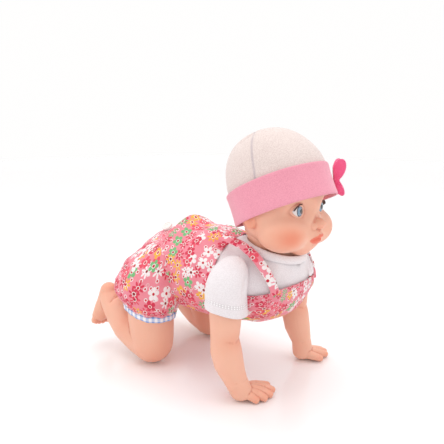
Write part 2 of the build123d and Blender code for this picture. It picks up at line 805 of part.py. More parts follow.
def sleeve_form(grow):
    """Outside of the short sleeve."""
    with BuildPart() as form:
        with BuildSketch(Plane.YZ.offset(SHOULDER_FACE_X + GAP)):
            with Locations((SHOULDER_Y, SHOULDER_Z)):
                Circle(15.6 + grow)
        extrude(amount=UPPER_ARM[0] - SHOULDER_FACE_X - GAP)
        with Locations(UPPER_ARM):
            Sphere(16.3 + grow)
        with BuildSketch(Plane.XY.offset(SLEEVE_HEM_Z - 12)):
            with Locations((UPPER_ARM[0], SHOULDER_Y)):
                Circle(16 + grow)
        extrude(amount=SHOULDER_Z - SLEEVE_HEM_Z + 12)
    return form.part


with BuildPart() as left_sleeve:
    add(sleeve_form(3))
    add(sleeve_form(1.7), mode=Mode.SUBTRACT)
    with BuildSketch(Plane.XY.offset(SLEEVE_HEM_Z)):
        with Locations((SHOULDER_FACE_X + GAP + 30, SHOULDER_Y)):
            Rectangle(60, 60)
    extrude(amount=60, mode=Mode.INTERSECT)
save(left_sleeve.part, "left_sleeve")

for left_piece, right_name in (
    (left_shoulder_hub, "right_shoulder_hub"),
    (left_sleeve, "right_sleeve"),
):
    with BuildPart() as right_piece:
        mirror(left_piece.part, about=Plane.YZ)
    save(right_piece.part, right_name)

# ---------------------------------------------------------------- clothes on the torso
WAIST_Y = -2
SHIRT_OUT = 2.6
ROMPER_OUT = 7
STRAP_X = 34
STRAP_WIDTH = 9


def along_torso(start_y, end_y, bottom_z, top_z, half_width):
    """Box that spans the torso between two places along Y."""
    with BuildPart() as span:
        with BuildSketch(Plane.XY.offset(bottom_z)):
            with Locations((0, (start_y + end_y) / 2)):
                Rectangle(2 * half_width, end_y - start_y)
        extrude(amount=top_z - bottom_z)
    return span.part


def dressed_form(grow, half_width):
    """Torso and shoulder turrets with their surface moved outwards by grow."""
    with BuildPart() as form:
        add(torso_form(grow))
        with BuildSketch(Plane.YZ.offset(-half_width)):
            with Locations((SHOULDER_Y, SHOULDER_Z)):
                Circle(TURRET_RADIUS + grow)
        extrude(amount=2 * half_width)
    return form.part


def neck_hole(radius):
    """Round opening in a garment for the neck."""
    with BuildPart() as hole:
        with BuildSketch(neck_plane(-14)):
            Circle(radius)
        extrude(amount=40)
    return hole.part


with BuildPart() as shirt_body:
    add(dressed_form(SHIRT_OUT, SHOULDER_FACE_X - GAP))
    add(dressed_form(CLOTH_GAP, SHOULDER_FACE_X + GAP), mode=Mode.SUBTRACT)
    add(along_torso(-110, WAIST_Y, 40, 160, 70), mode=Mode.INTERSECT)
    add(neck_hole(COLLAR_RADIUS + GAP), mode=Mode.SUBTRACT)
    with BuildSketch(neck_plane(-1)):
        Rectangle(200, 300)
    extrude(amount=60, mode=Mode.SUBTRACT)
save(shirt_body.part, "shirt_body")

with BuildPart() as shirt_neckband:
    with BuildSketch(neck_plane(-5.5)):
        Circle(COLLAR_RADIUS + 4.5)
        Circle(COLLAR_RADIUS + GAP, mode=Mode.SUBTRACT)
    extrude(amount=4.5)
    add(torso_form(SHIRT_OUT + GAP), mode=Mode.SUBTRACT)
save(shirt_neckband.part, "shirt_neckband")

with BuildPart() as romper_seat:
    add(torso_form(ROMPER_OUT))
    add(torso_form(CLOTH_GAP), mode=Mode.SUBTRACT)
    add(along_torso(WAIST_Y + GAP, 120, 40, 170, 80), mode=Mode.INTERSECT)
    add(hip_pockets(32.5, HIP_FACE_X - SHELL_WALL), mode=Mode.SUBTRACT)
    with BuildSketch(Plane.XY.offset(120)):
        with Locations((0, SWITCH_Y)):
            Rectangle(SWITCH_SLOT[0] + 4, SWITCH_SLOT[1] + 6)
        with Locations((0, DOOR_SCREW_Y)):
            Circle(4)
    extrude(amount=24, mode=Mode.SUBTRACT)
save(romper_seat.part, "romper_seat")

with BuildPart() as romper_bib:
    add(torso_form(SHIRT_OUT + CLOTH + CLOTH_GAP))
    add(torso_form(SHIRT_OUT + CLOTH_GAP), mode=Mode.SUBTRACT)
    add(along_torso(-120, WAIST_Y, 40, 100, 39), mode=Mode.INTERSECT)
save(romper_bib.part, "romper_bib")


def strap(name, side):
    """Shoulder strap from the bib's top corner over the shoulder to the seat."""
    with BuildPart() as band:
        add(dressed_form(SHIRT_OUT + CLOTH + CLOTH_GAP, SHOULDER_FACE_X - GAP))
        add(dressed_form(SHIRT_OUT + CLOTH_GAP, SHOULDER_FACE_X + GAP), mode=Mode.SUBTRACT)
        with BuildSketch(Plane.XY.offset(100 + GAP)):
            with Locations((side * STRAP_X, -60)):
                Rectangle(STRAP_WIDTH, 116)
        extrude(amount=60, mode=Mode.INTERSECT)
        add(neck_hole(COLLAR_RADIUS + 5), mode=Mode.SUBTRACT)
    save(band.part, name)


strap("left_strap", 1)
strap("right_strap", -1)

BUTTON_CENTRE = (13, 56, 135)
BUTTON_RADIUS = 5.8
with BuildPart() as back_buttons:
    for side in (1, -1):
        button_origin = (side * BUTTON_CENTRE[0], BUTTON_CENTRE[1], BUTTON_CENTRE[2])
        with BuildSketch(Plane(origin=button_origin, z_dir=(side * 0.3, 0.4, 0.87))):
            Circle(BUTTON_RADIUS)
        extrude(amount=9)
    add(torso_form(ROMPER_OUT + 3), mode=Mode.INTERSECT)
    add(torso_form(ROMPER_OUT + GAP), mode=Mode.SUBTRACT)
save(back_buttons.part, "back_buttons")

# ---------------------------------------------------------------- head
EYE_CENTRE = (18.4, -105.5, 171.5)
EYE_RADIUS = 8.5


def head_form(grow):
    """Egg-shaped solid around the head's centre."""
    with BuildPart() as form:
        Sphere(1)
        scale(by=tuple(radius + grow for radius in HEAD_RADII))
    return Pos(*HEAD_CENTRE) * form.part


with BuildPart() as head:
    add(head_form(0))
    with Locations((0, -114, 159)):
        Sphere(8)
    split(bisect_by=neck_plane(0.3), keep=Keep.TOP)
    add(head_form(-VINYL_WALL), mode=Mode.SUBTRACT)
    with BuildSketch(neck_plane(0.3)):
        Circle(COLLAR_RADIUS)
        Circle(PLUG_RADIUS, mode=Mode.SUBTRACT)
    extrude(amount=6)
    with BuildSketch(neck_plane(0)):
        Circle(PLUG_RADIUS)
    extrude(amount=8, mode=Mode.SUBTRACT)
    with Locations(EYE_CENTRE, (-EYE_CENTRE[0], EYE_CENTRE[1], EYE_CENTRE[2])):
        Sphere(EYE_RADIUS + 0.05, mode=Mode.SUBTRACT)
save(head.part, "head")

for side, name in ((1, "left_eye"), (-1, "right_eye")):
    with BuildPart() as eye:
        with Locations((side * EYE_CENTRE[0], EYE_CENTRE[1], EYE_CENTRE[2])):
            Sphere(EYE_RADIUS)
    save(eye.part, name)

with BuildPart() as neck_plug:
    with BuildSketch(neck_plane(-11)):
        Circle(PLUG_RADIUS)
        Circle(PLUG_RADIUS - 3, mode=Mode.SUBTRACT)
    extrude(amount=18)
save(neck_plug.part, "neck_plug")

# ---------------------------------------------------------------- hat
HAT_TILT = 21.5
CUFF_FRONT = (0, -121, 183)
CUFF_HEIGHT = 29


def cuff_plane(height):
    """Plane of the hat's lower edge, height above it."""
    tilt = radians(HAT_TILT)
    up = Vector(0, sin(tilt), cos(tilt))
    return Plane(origin=Vector(*CUFF_FRONT) + up * height, x_dir=(1, 0, 0), z_dir=up)


def hat_form(grow):
    """Outside of the knitted hat around the head's centre."""
    with BuildPart() as form:
        Sphere(1)
        scale(by=(45 + grow, 47 + grow, 60 + grow))
    return Pos(HEAD_CENTRE[0], HEAD_CENTRE[1], HEAD_CENTRE[2] + 1) * form.part


with BuildPart() as hat_crown:
    add(hat_form(0))
    add(head_form(CLOTH_GAP), mode=Mode.SUBTRACT)
    split(bisect_by=cuff_plane(1), keep=Keep.TOP)
save(hat_crown.part, "hat_crown")

with BuildPart() as hat_cuff:
    add(hat_form(2.8))
    add(hat_form(0.7), mode=Mode.SUBTRACT)
    add(head_form(CLOTH_GAP), mode=Mode.SUBTRACT)
    split(bisect_by=cuff_plane(0), keep=Keep.TOP)
    split(bisect_by=cuff_plane(CUFF_HEIGHT), keep=Keep.BOTTOM)
save(hat_cuff.part, "hat_cuff")

BUTTERFLY_CENTRE = (12, -121.2, 200)
with BuildPart() as hat_butterfly:
    with BuildSketch(Plane(origin=BUTTERFLY_CENTRE, x_dir=(0.96, 0.28, 0), z_dir=(0.28, -0.96, 0.2))):
        with Locations((-7, 7), (7, 7)):
            Circle(8)
        with Locations((-6, -8), (6, -8)):
            Circle(6)
        Rectangle(4, 18)
    extrude(amount=2.4)
save(hat_butterfly.part, "hat_butterfly")
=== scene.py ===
import bpy
import numpy as np
from math import cos, pi, radians, sin
from mathutils import Matrix, Vector


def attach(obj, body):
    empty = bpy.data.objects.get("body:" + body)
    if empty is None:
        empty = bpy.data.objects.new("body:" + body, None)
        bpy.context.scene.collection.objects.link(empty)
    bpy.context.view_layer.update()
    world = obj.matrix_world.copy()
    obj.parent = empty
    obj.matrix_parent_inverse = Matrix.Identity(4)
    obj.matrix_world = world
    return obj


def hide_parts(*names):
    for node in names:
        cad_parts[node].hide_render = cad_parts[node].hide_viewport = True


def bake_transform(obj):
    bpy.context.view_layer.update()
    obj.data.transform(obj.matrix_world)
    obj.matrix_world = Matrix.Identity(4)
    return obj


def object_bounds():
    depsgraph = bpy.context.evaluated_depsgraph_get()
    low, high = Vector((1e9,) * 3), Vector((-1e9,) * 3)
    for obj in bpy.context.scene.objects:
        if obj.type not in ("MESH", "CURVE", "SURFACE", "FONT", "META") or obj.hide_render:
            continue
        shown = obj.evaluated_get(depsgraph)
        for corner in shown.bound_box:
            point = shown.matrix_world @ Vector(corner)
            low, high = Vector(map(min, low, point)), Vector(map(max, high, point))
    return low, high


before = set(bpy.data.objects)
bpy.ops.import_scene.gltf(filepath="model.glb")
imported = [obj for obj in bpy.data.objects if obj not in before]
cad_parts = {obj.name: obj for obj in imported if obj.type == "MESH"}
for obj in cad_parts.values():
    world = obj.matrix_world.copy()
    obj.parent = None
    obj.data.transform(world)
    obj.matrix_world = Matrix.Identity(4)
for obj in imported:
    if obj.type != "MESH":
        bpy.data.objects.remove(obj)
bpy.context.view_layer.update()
bpy.ops.object.select_all(action="DESELECT")
bpy.context.scene.view_settings.view_transform = "Standard"

# ---------------------------------------------------------------- studio
# A white sweep under a broad overhead softbox, with two side softboxes.
# The floor is polished enough to hold a faint reflection of the doll.
doll_low, doll_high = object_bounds()
doll_middle = (doll_low + doll_high) / 2


def shade(red, green, blue):
    """A colour given in the 0 to 255 values of a colour card."""
    card = np.array([red, green, blue]) / 255
    linear = np.where(card <= 0.04045, card / 12.92, ((card + 0.055) / 1.055) ** 2.4)
    return (*[float(value) for value in linear], 1.0)


def new_finish(name, roughness, **sockets):
    """A material whose even properties sit on the shader's own sockets."""
    finish = bpy.data.materials.new(name)
    finish.use_nodes = True
    shader = finish.node_tree.nodes["Principled BSDF"]
    shader.inputs["Roughness"].default_value = roughness
    for socket, value in sockets.items():
        shader.inputs[socket.replace("_", " ")].default_value = value
    return finish


def add_node(finish, kind, settings, *inputs):
    """One node of a material; each input is a socket number or name and its value or link."""
    tree = finish.node_tree
    made = tree.nodes.new("ShaderNode" + kind)
    for setting, value in settings.items():
        setattr(made, setting, value)
    for socket, value in inputs:
        if isinstance(value, bpy.types.NodeSocket):
            tree.links.new(value, made.inputs[socket])
        else:
            made.inputs[socket].default_value = value
    return made


def sums(finish, operation, *values):
    """The result of a Math node."""
    return add_node(finish, "Math", {"operation": operation}, *enumerate(values)).outputs[0]


def blend_colours(finish, share, first, second):
    """Two colours mixed by a share from 0 to 1."""
    inputs = ((0, share), (6, first), (7, second))
    return add_node(finish, "Mix", {"data_type": "RGBA"}, *inputs).outputs[2]


def speckle(finish, place, scale, detail=3.0):
    """Soft random grey between 0 and 1."""
    inputs = (("Vector", place), ("Scale", scale), ("Detail", detail))
    return add_node(finish, "TexNoise", {}, *inputs).outputs["Fac"]


def band(finish, value, low, high):
    """A smooth step from 0 at low to 1 at high."""
    settings = {"interpolation_type": "SMOOTHSTEP"}
    inputs = (("Value", value), ("From Min", low), ("From Max", high))
    return add_node(finish, "MapRange", settings, *inputs).outputs[0]


def give_colour(finish, colour):
    """Link a colour into the finish."""
    shader = finish.node_tree.nodes["Principled BSDF"]
    finish.node_tree.links.new(colour, shader.inputs["Base Color"])


def give_roughness(finish, roughness):
    """Link a roughness that varies over the surface."""
    shader = finish.node_tree.nodes["Principled BSDF"]
    finish.node_tree.links.new(roughness, shader.inputs["Roughness"])


def give_relief(finish, height, distance, strength=1.0):
    """Bumps of a real depth in metres."""
    shader = finish.node_tree.nodes["Principled BSDF"]
    inputs = (("Height", height), ("Distance", distance), ("Strength", strength))
    bump = add_node(finish, "Bump", {}, *inputs)
    finish.node_tree.links.new(bump.outputs[0], shader.inputs["Normal"])


def object_place(finish):
    """The place of each point of the piece, in metres."""
    return add_node(finish, "TexCoord", {}).outputs["Object"]


floor_finish = new_finish("polished_white_floor", 0.16, Specular_IOR_Level=0.5)
floor_cloud = speckle(floor_finish, object_place(floor_finish), 3.0)
floor_white = blend_colours(floor_finish, floor_cloud, shade(250, 249, 250), shade(253, 251, 252))
give_colour(floor_finish, floor_white)
FLOOR_WIDTH = 9
bpy.ops.mesh.primitive_plane_add(size=FLOOR_WIDTH, location=(doll_middle.x, doll_middle.y, 0))
studio_floor = bpy.context.object
studio_floor.name = "studio_floor"
bpy.ops.object.transform_apply()
studio_floor.data.materials.append(floor_finish)

studio_air = bpy.data.worlds.new("studio_air")
bpy.context.scene.world = studio_air
studio_air.use_nodes = True
studio_air.node_tree.nodes["Background"].inputs["Color"].default_value = (1, 0.995, 0.99, 1)
studio_air.node_tree.nodes["Background"].inputs["Strength"].default_value = 1.0

LAMP_AIM_HEIGHT = 0.1


def softbox(name, place, size, power):
    """A square diffused lamp that points at the doll."""
    bpy.ops.object.light_add(type="AREA", location=place)
    lamp = bpy.context.object
    lamp.name = name
    lamp.data.size = size
    lamp.data.energy = power
    aim = Vector((doll_middle.x, doll_middle.y, LAMP_AIM_HEIGHT)) - lamp.location
    lamp.rotation_mode = "QUATERNION"
    lamp.rotation_quaternion = aim.to_track_quat("-Z", "Y")
    return lamp


softbox("overhead_softbox", (0.05, 0.15, 1.3), 1.2, 6.0)
softbox("left_softbox", (-1.1, 0.5, 0.6), 0.7, 1.0)
softbox("right_softbox", (0.5, -1.2, 0.7), 0.7, 1.2)

CAMERA_PLACE = (-0.3935, -0.3315, 0.235)
CAMERA_AIM = (0.765, 0.622, -0.167)
CAMERA_LENS = 41.1
bpy.ops.object.camera_add(location=CAMERA_PLACE)
camera = bpy.context.object
camera.name = "studio_camera"
camera.rotation_mode = "QUATERNION"
camera.rotation_quaternion = Vector(CAMERA_AIM).to_track_quat("-Z", "Y")
camera.data.sensor_width = 36
camera.data.lens = CAMERA_LENS
camera.data.clip_start = 0.01
bpy.context.scene.camera = camera

# ---------------------------------------------------------------- torso shells, neck and battery door
# Two pink-beige moulded shells close round the drive; the back one has the battery door and switch.
# The collar and plug that the head turns on are of the same plastic; the hubs that the limbs turn on are of a
# creamier one.


def moulded(name, colour, other, roughness, grain=2500.0, depth=0.00002):
    """Moulded plastic: two near shades in soft clouds, a fine spark-eroded grain and worn patches."""
    finish = new_finish(name, roughness)
    place = object_place(finish)
    clouds = speckle(finish, place, 60.0)
    give_colour(finish, blend_colours(finish, clouds, shade(*colour), shade(*other)))
    worn = sums(finish, "MULTIPLY_ADD", speckle(finish, place, 25.0), 0.14, roughness - 0.07)
    give_roughness(finish, worn)
    give_relief(finish, speckle(finish, place, grain, 2.0), depth)
    return finish


def dress(finish, *nodes):
    """Give pieces of the frame their finish, on each of their material slots."""
    for name in nodes:
        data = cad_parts[name].data
        if not data.materials:
            data.materials.append(finish)
        for index in range(len(data.materials)):
            data.materials[index] = finish


shell_plastic = moulded("shell_plastic", (232, 188, 168), (225, 180, 160), 0.5)
dress(shell_plastic, "torso_belly_shell", "torso_back_shell", "battery_door", "neck_collar", "neck_plug")
hub_plastic = moulded("hub_plastic", (226, 214, 200), (218, 205, 190), 0.45)
dress(hub_plastic, "left_hip_hub", "right_hip_hub", "left_shoulder_hub", "right_shoulder_hub")

# ---------------------------------------------------------------- batteries, switch and sound
# Three wrapped cells in a black box, a slide switch, a circuit board and a small paper-cone speaker.
# Their shapes come with the frame, and only their finishes are made here.


def metal(name, colour, roughness):
    """Plated or drawn metal with fine lines and a little tarnish."""
    finish = new_finish(name, roughness, Metallic=1.0)
    place = object_place(finish)
    tarnish = speckle(finish, place, 90.0, 5.0)
    dull = (colour[0] * 0.82, colour[1] * 0.8, colour[2] * 0.76)
    give_colour(finish, blend_colours(finish, tarnish, shade(*colour), shade(*dull)))
    lines = add_node(finish, "TexWave", {}, ("Vector", place), ("Scale", 900.0), ("Distortion", 1.5))
    give_roughness(finish, sums(finish, "MULTIPLY_ADD", tarnish, 0.2, roughness - 0.1))
    give_relief(finish, lines.outputs["Fac"], 0.00001)
    return finish


black_plastic = moulded("black_plastic", (38, 38, 42), (28, 28, 31), 0.5)
dress(black_plastic, "battery_box", "switch_body", "speaker_frame")
red_switch = moulded("switch_cap_plastic", (205, 60, 70), (190, 50, 60), 0.4)
dress(red_switch, "switch_slider")
plated_steel = metal("plated_steel", (200, 200, 205), 0.35)
dress(plated_steel, "door_screw", "shell_screws", "battery_contacts")
dress(plated_steel, "crank_shaft", "gearbox_pins", "speaker_magnet")
motor_steel = metal("motor_can_steel", (180, 180, 186), 0.3)
dress(motor_steel, "motor")
cell_wrap = moulded("battery_wrap", (60, 90, 70), (190, 160, 70), 0.35, 40.0)
dress(cell_wrap, "batteries")
board_lacquer = moulded("board_lacquer", (30, 110, 62), (20, 90, 50), 0.35, 700.0)
dress(board_lacquer, "circuit_board")
chip_resin = moulded("chip_resin", (45, 45, 48), (60, 60, 64), 0.55)
dress(chip_resin, "board_components")
paper_cone = moulded("speaker_paper", (62, 58, 55), (48, 45, 43), 0.85, 1400.0, 0.00008)
dress(paper_cone, "speaker_cone")

# ---------------------------------------------------------------- crawling drive
# White acetal gears and levers between two gearbox plates turn the motor into a crawl.
# Their shapes and pivots come with the frame, and only their finishes are made here.
gear_acetal = moulded("gear_acetal", (236, 233, 224), (228, 224, 214), 0.38)
dress(gear_acetal, "first_gear", "second_gear", "crank_gear", "crank_discs")
dress(gear_acetal, "left_link_bar", "right_link_bar")
dress(gear_acetal, "left_hip_lever", "right_hip_lever", "left_shoulder_lever", "right_shoulder_lever")
plate_plastic = moulded("gearbox_plate_plastic", (196, 200, 206), (184, 188, 195), 0.5)
dress(plate_plastic, "gearbox_left_plate", "gearbox_right_plate")
pinion_brass = metal("pinion_brass", (205, 170, 95), 0.3)
dress(pinion_brass, "motor_pinion")

# ---------------------------------------------------------------- legs
# Each leg is one hollow moulding of soft peach vinyl from the hip to the toes, bent at the knee.
# It is redder at the knee, heel and toes, and turns on the hip hub.
MM = 0.001
FLOOR_GAP = 0.1


def ball_chain(stations, spacing=2.6):
    """Balls in a close row through stations, each a centre and a radius or three radii, in millimetres."""
    balls = []
    for (first, first_radius), (second, second_radius) in zip(stations, stations[1:]):
        first, second = np.array(first, float), np.array(second, float)
        first_radii = np.ones(3) * first_radius
        second_radii = np.ones(3) * second_radius
        count = max(1, int(np.ceil(np.linalg.norm(second - first) / spacing)))
        for step in range(count):
            share = step / count
            radii = first_radii + (second_radii - first_radii) * share
            balls.append((first + (second - first) * share, radii))
    balls.append((np.array(stations[-1][0], float), np.ones(3) * stations[-1][1]))
    return balls


def mould_vinyl(name, balls, voxel, rounds, core=None):
    """One skin drawn over overlapping balls, and over a core modelled before, then smoothed as clay is."""
    bpy.ops.object.select_all(action="DESELECT")
    bpy.ops.mesh.primitive_uv_sphere_add(segments=28, ring_count=18, radius=1)
    vinyl = bpy.context.object
    round_ball = vinyl.data.copy()
    for index, (centre, radii) in enumerate(balls):
        lump = vinyl if index == 0 else bpy.data.objects.new(name + "_lump", round_ball.copy())
        if index:
            bpy.context.collection.objects.link(lump)
        size = Matrix.Diagonal((*[float(radius) * MM for radius in radii], 1))
        lump.data.transform(Matrix.Translation(Vector(centre) * MM) @ size)
        lump.select_set(True)
    if core:
        core.select_set(True)
    bpy.context.view_layer.objects.active = vinyl
    bpy.ops.object.join()
    vinyl.name = name
    vinyl.data.name = name
    vinyl.data.remesh_voxel_size = voxel * MM
    bpy.ops.object.voxel_remesh()
    relax(vinyl, rounds)
    bpy.ops.object.shade_smooth()
    return vinyl


def relax(piece, rounds):
    """Even out the surface."""
    bpy.context.view_layer.objects.active = piece
    smooth = piece.modifiers.new("relax", "SMOOTH")
    smooth.factor = 0.5
    smooth.iterations = rounds
    bpy.ops.object.modifier_apply(modifier=smooth.name)


def points_of(piece):
    """The mesh's points in millimetres."""
    flat = np.empty(len(piece.data.vertices) * 3)
    piece.data.vertices.foreach_get("co", flat)
    return flat.reshape(-1, 3) / MM


def put_points(piece, points):
    """Move the mesh's points to places in millimetres."""
    piece.data.vertices.foreach_set("co", (np.asarray(points) * MM).ravel())
    piece.data.update()


def normals_of(piece):
    """The outward direction at each of the mesh's points."""
    flat = np.empty(len(piece.data.vertices) * 3)
    piece.data.vertices.foreach_get("normal", flat)
    return flat.reshape(-1, 3)


def push(piece, centre, reach, move):
    """Pull the skin softly by move round one place. Reach is one radius or three, in millimetres."""
    points = points_of(piece)
    away = ((points - np.array(centre)) / (np.ones(3) * reach)) ** 2
    weight = np.exp(-away.sum(1))
    put_points(piece, points + weight[:, None] * np.array(move, float))


def crease(piece, path, width, depth):
    """Sink (or raise, with a negative depth) a soft line in the surface along a path of points."""
    points = points_of(piece)
    nearest = np.full(len(points), 1e9)
    fade = np.ones(len(points))
    total = len(path) - 1
    for index, (first, second) in enumerate(zip(path, path[1:])):
        first, second = np.array(first, float), np.array(second, float)
        run = second - first
        share = np.clip(((points - first) @ run) / (run @ run), 0, 1)
        distance = np.linalg.norm(points - (first + share[:, None] * run), axis=1)
        closer = distance < nearest
        nearest = np.where(closer, distance, nearest)
        along = (index + share) / total
        fade = np.where(closer, np.clip(np.minimum(along, 1 - along) * 6 + 0.15, 0, 1), fade)
    weight = np.exp(-((nearest / width) ** 2)) * fade
    put_points(piece, points - normals_of(piece) * (weight * depth)[:, None])


def paint_layer(piece, name, values):
    """Keep one value at each point of the mesh for its finish to read."""
    layer = piece.data.attributes.new(name, "FLOAT", "POINT")
    layer.data.foreach_set("value", values.astype(np.float32))


def coat(piece, finish):
    """Give a new piece its one finish."""
    piece.data.materials.clear()
    piece.data.materials.append(finish)


def stand_on_floor(piece):
    """Flatten what would sink below the floor."""
    points = points_of(piece)
    points[:, 2] = np.maximum(points[:, 2], FLOOR_GAP)
    put_points(piece, points)


def blush(piece, spots):
    """Spray the redder tone on: each spot is a centre, a radius or three, and a strength."""
    points = points_of(piece)
    tone = np.zeros(len(points))
    for centre, reach, strength in spots:
        away = ((points - np.array(centre)) / (np.ones(3) * reach)) ** 2
        tone = np.maximum(tone, strength * np.exp(-away.sum(1)))
    paint_layer(piece, "flush", tone)


def paint_crease_shade(piece):
    """Paint how far each place lies sunk below its neighbours, as the mask for painted shade: a darker,
    redder tone in creases.
    """
    points = points_of(piece)
    edges = np.empty(len(piece.data.edges) * 2, int)
    piece.data.edges.foreach_get("vertices", edges)
    edges = edges.reshape(-1, 2)
    mean = points.copy()
    for _ in range(6):
        total = mean.copy()
        count = np.ones(len(points))
        for one, other in ((0, 1), (1, 0)):
            np.add.at(total, edges[:, one], mean[edges[:, other]])
            np.add.at(count, edges[:, one], 1)
        mean = total / count[:, None]
    depth = ((mean - points) * normals_of(piece)).sum(1)
    paint_layer(piece, "hollow", np.clip(depth * 4, -1, 1))


skin_vinyl = new_finish(
    "peach_vinyl", 0.4, Subsurface_Weight=0.12, Subsurface_Scale=0.004, Specular_IOR_Level=0.42,
)
skin_vinyl.node_tree.nodes["Principled BSDF"].inputs["Subsurface Radius"].default_value = (1.0, 0.45, 0.3)
skin_place = object_place(skin_vinyl)
skin_tone = blend_colours(
    skin_vinyl, speckle(skin_vinyl, skin_place, 40.0), shade(236, 178, 152), shade(242, 187, 162)
)
flush = add_node(skin_vinyl, "Attribute", {"attribute_name": "flush"}).outputs["Fac"]
hollow = add_node(skin_vinyl, "Attribute", {"attribute_name": "hollow"}).outputs["Fac"]
lips = add_node(skin_vinyl, "Attribute", {"attribute_name": "lips"}).outputs["Fac"]
skin_tone = blend_colours(skin_vinyl, flush, skin_tone, shade(231, 122, 88))
# Painted shade: creases and hollows are darkened to a dark red-brown by the sunk-depth mask.
crease_shade_share = sums(skin_vinyl, "MULTIPLY", band(skin_vinyl, hollow, 0.08, 1.3), 0.55)
skin_tone = blend_colours(skin_vinyl, crease_shade_share, skin_tone, shade(196, 92, 70))
skin_tone = blend_colours(skin_vinyl, lips, skin_tone, shade(232, 112, 88))
give_colour(skin_vinyl, skin_tone)
skin_handling = speckle(skin_vinyl, skin_place, 55.0)
give_roughness(skin_vinyl, sums(skin_vinyl, "MULTIPLY_ADD", skin_handling, 0.12, 0.36))
give_relief(skin_vinyl, speckle(skin_vinyl, skin_place, 2600.0, 2.0), 0.000012)

LEG_VOXEL = 0.95
LEG_ROUNDS = 7
TOE_GAPS = (44.8, 50.6, 55.7, 60.2)


def mould_leg(name, side, node, body):
    """A crawling leg: thigh down to the knee, shin back along the floor, foot raised behind."""
    thigh = [
        ((side * 43, 48, 96), 22), ((side * 45, 48, 72), 25.5), ((side * 46, 47, 48), 24),
        ((side * 47, 44.5, 30), 22.4), ((side * 47.5, 44, 22.4), 21.6),
    ]
    shin = [
        ((side * 47.5, 46, 22), 21), ((side * 48.5, 62, 24.5), 18.6), ((side * 50, 78, 31.5), 17.2),
        ((side * 50, 93, 42), 15), ((side * 50, 103, 51), 13), ((side * 50, 108, 58), 11.5),
    ]
    foot = [
        ((side * 50, 110.5, 65), 9.6), ((side * 50.5, 115.5, 54), (9.6, 9.2, 9)),
        ((side * 51, 120, 44), (11, 8.6, 9)), ((side * 51, 123.5, 35.5), (12.4, 7.6, 7.6)),
    ]
    toes = [
        ((side * 41.5, 126, 27.5), (4.6, 5, 5.4)), ((side * 47.8, 127.2, 26.6), (3.7, 4.2, 4.8)),
        ((side * 53.2, 126.8, 27.2), (3.4, 4, 4.5)), ((side * 58, 125.6, 28.6), (3.1, 3.7, 4.2)),
        ((side * 62, 123.8, 30.6), (2.9, 3.4, 3.8)),
    ]
    balls = ball_chain(thigh) + ball_chain(shin) + ball_chain(foot) + toes
    leg = mould_vinyl(name, balls, LEG_VOXEL, LEG_ROUNDS)
    crease(leg, [(side * 34, 62, 40), (side * 48, 68, 47), (side * 62, 62, 40)], 2.2, 1.6)
    crease(leg, [(side * 38, 97, 56), (side * 50, 95, 62), (side * 62, 97, 56)], 1.6, 0.9)
    for gap_x in TOE_GAPS:
        crease(leg, [(side * gap_x, 130, 31), (side * gap_x, 128, 24)], 0.9, 1.1)
    stand_on_floor(leg)
    blush(leg, [
        ((side * 48, 36, 12), 20, 0.32), ((side * 50, 112, 70), 10, 0.35),
        ((side * 52, 126, 27), (16, 9, 8), 0.4), ((side * 50, 70, 40), (20, 10, 16), 0.3),
        ((side * 30, 44, 40), (12, 30, 40), 0.3),
    ])
    paint_crease_shade(leg)
    coat(leg, skin_vinyl)
    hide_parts(node)
    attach(leg, body)


mould_leg("left_leg_moulding", 1, "left_leg", "left_leg")
mould_leg("right_leg_moulding", -1, "right_leg", "right_leg")

# ---------------------------------------------------------------- arms and hands
# Each arm is one vinyl moulding, straight down from the shoulder to an open hand flat on the floor.
# Both hands turn towards the doll's left, so the two mouldings differ below the wrist.
ARM_VOXEL = 0.85
ARM_ROUNDS = 5
FINGER_SPACING = 1.3


def mould_arm(name, side, palm, tips, node, body):
    """An arm with a soft elbow crease, a wrist crease and five short fingers with nails."""
    arm = [
        ((side * 56, -63, 110), 14.2), ((side * 58.6, -63.5, 98), 14.8), ((side * 58.8, -63.5, 80), 14.6),
        ((side * 59.4, -63.4, 64), 13.4), ((side * 59.8, -63.4, 57), 13.0), ((side * 59.6, -64.8, 46), 14.2),
        ((side * 59.2, -67.2, 36), 13.6), ((side * 58.2, -71.4, 26), 11.4),
        ((side * 57.2, -74.4, 19.5), 10.4), (palm, (10.4, 10.4, 8)),
    ]
    balls = ball_chain(arm)
    for root, knuckle, tip, thick in tips:
        balls += ball_chain([(root, thick * 1.12), (knuckle, thick), (tip, thick * 0.86)], FINGER_SPACING)
    hand_arm = mould_vinyl(name, balls, ARM_VOXEL, ARM_ROUNDS)
    elbow = [(side * 60 - 13, -73, 60), (side * 60 - 2, -78, 56), (side * 60 + 11, -74, 59)]
    crease(hand_arm, elbow, 2.4, 0.8)
    crease(hand_arm, [(side * 60 - 12, -66, 19), (side * 58, -61, 17), (side * 57 + 11, -68, 22)], 2.0, 0.8)
    crease(hand_arm, [(side * 57 - 11, -78, 21), (side * 57, -85, 22), (side * 57 + 10, -82, 23)], 1.8, 0.7)
    for root, knuckle, tip, thick in tips:
        tip, knuckle = np.array(tip, float), np.array(knuckle, float)
        ahead = (tip - knuckle) / np.linalg.norm(tip - knuckle)
        across = np.cross(ahead, (0, 0, 1.0))
        top = knuckle + np.array((0, 0, thick * 0.8))
        crease(hand_arm, [top - across * thick, top + across * thick], 0.7, 0.35)
        nail = tip + ahead * thick * 0.35 + np.array((0, 0, thick * 0.72))
        push(hand_arm, nail, (thick * 0.5, thick * 0.5, thick * 0.4), (0, 0, -0.35))
    stand_on_floor(hand_arm)
    spots = [((side * 60, -76, 58), (16, 8, 8), 0.26), ((side * 57, -68, 14), 11, 0.28)]
    spots += [(tip, 5.5, 0.42) for root, knuckle, tip, thick in tips]
    blush(hand_arm, spots)
    paint_crease_shade(hand_arm)
    coat(hand_arm, skin_vinyl)
    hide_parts(node)
    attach(hand_arm, body)


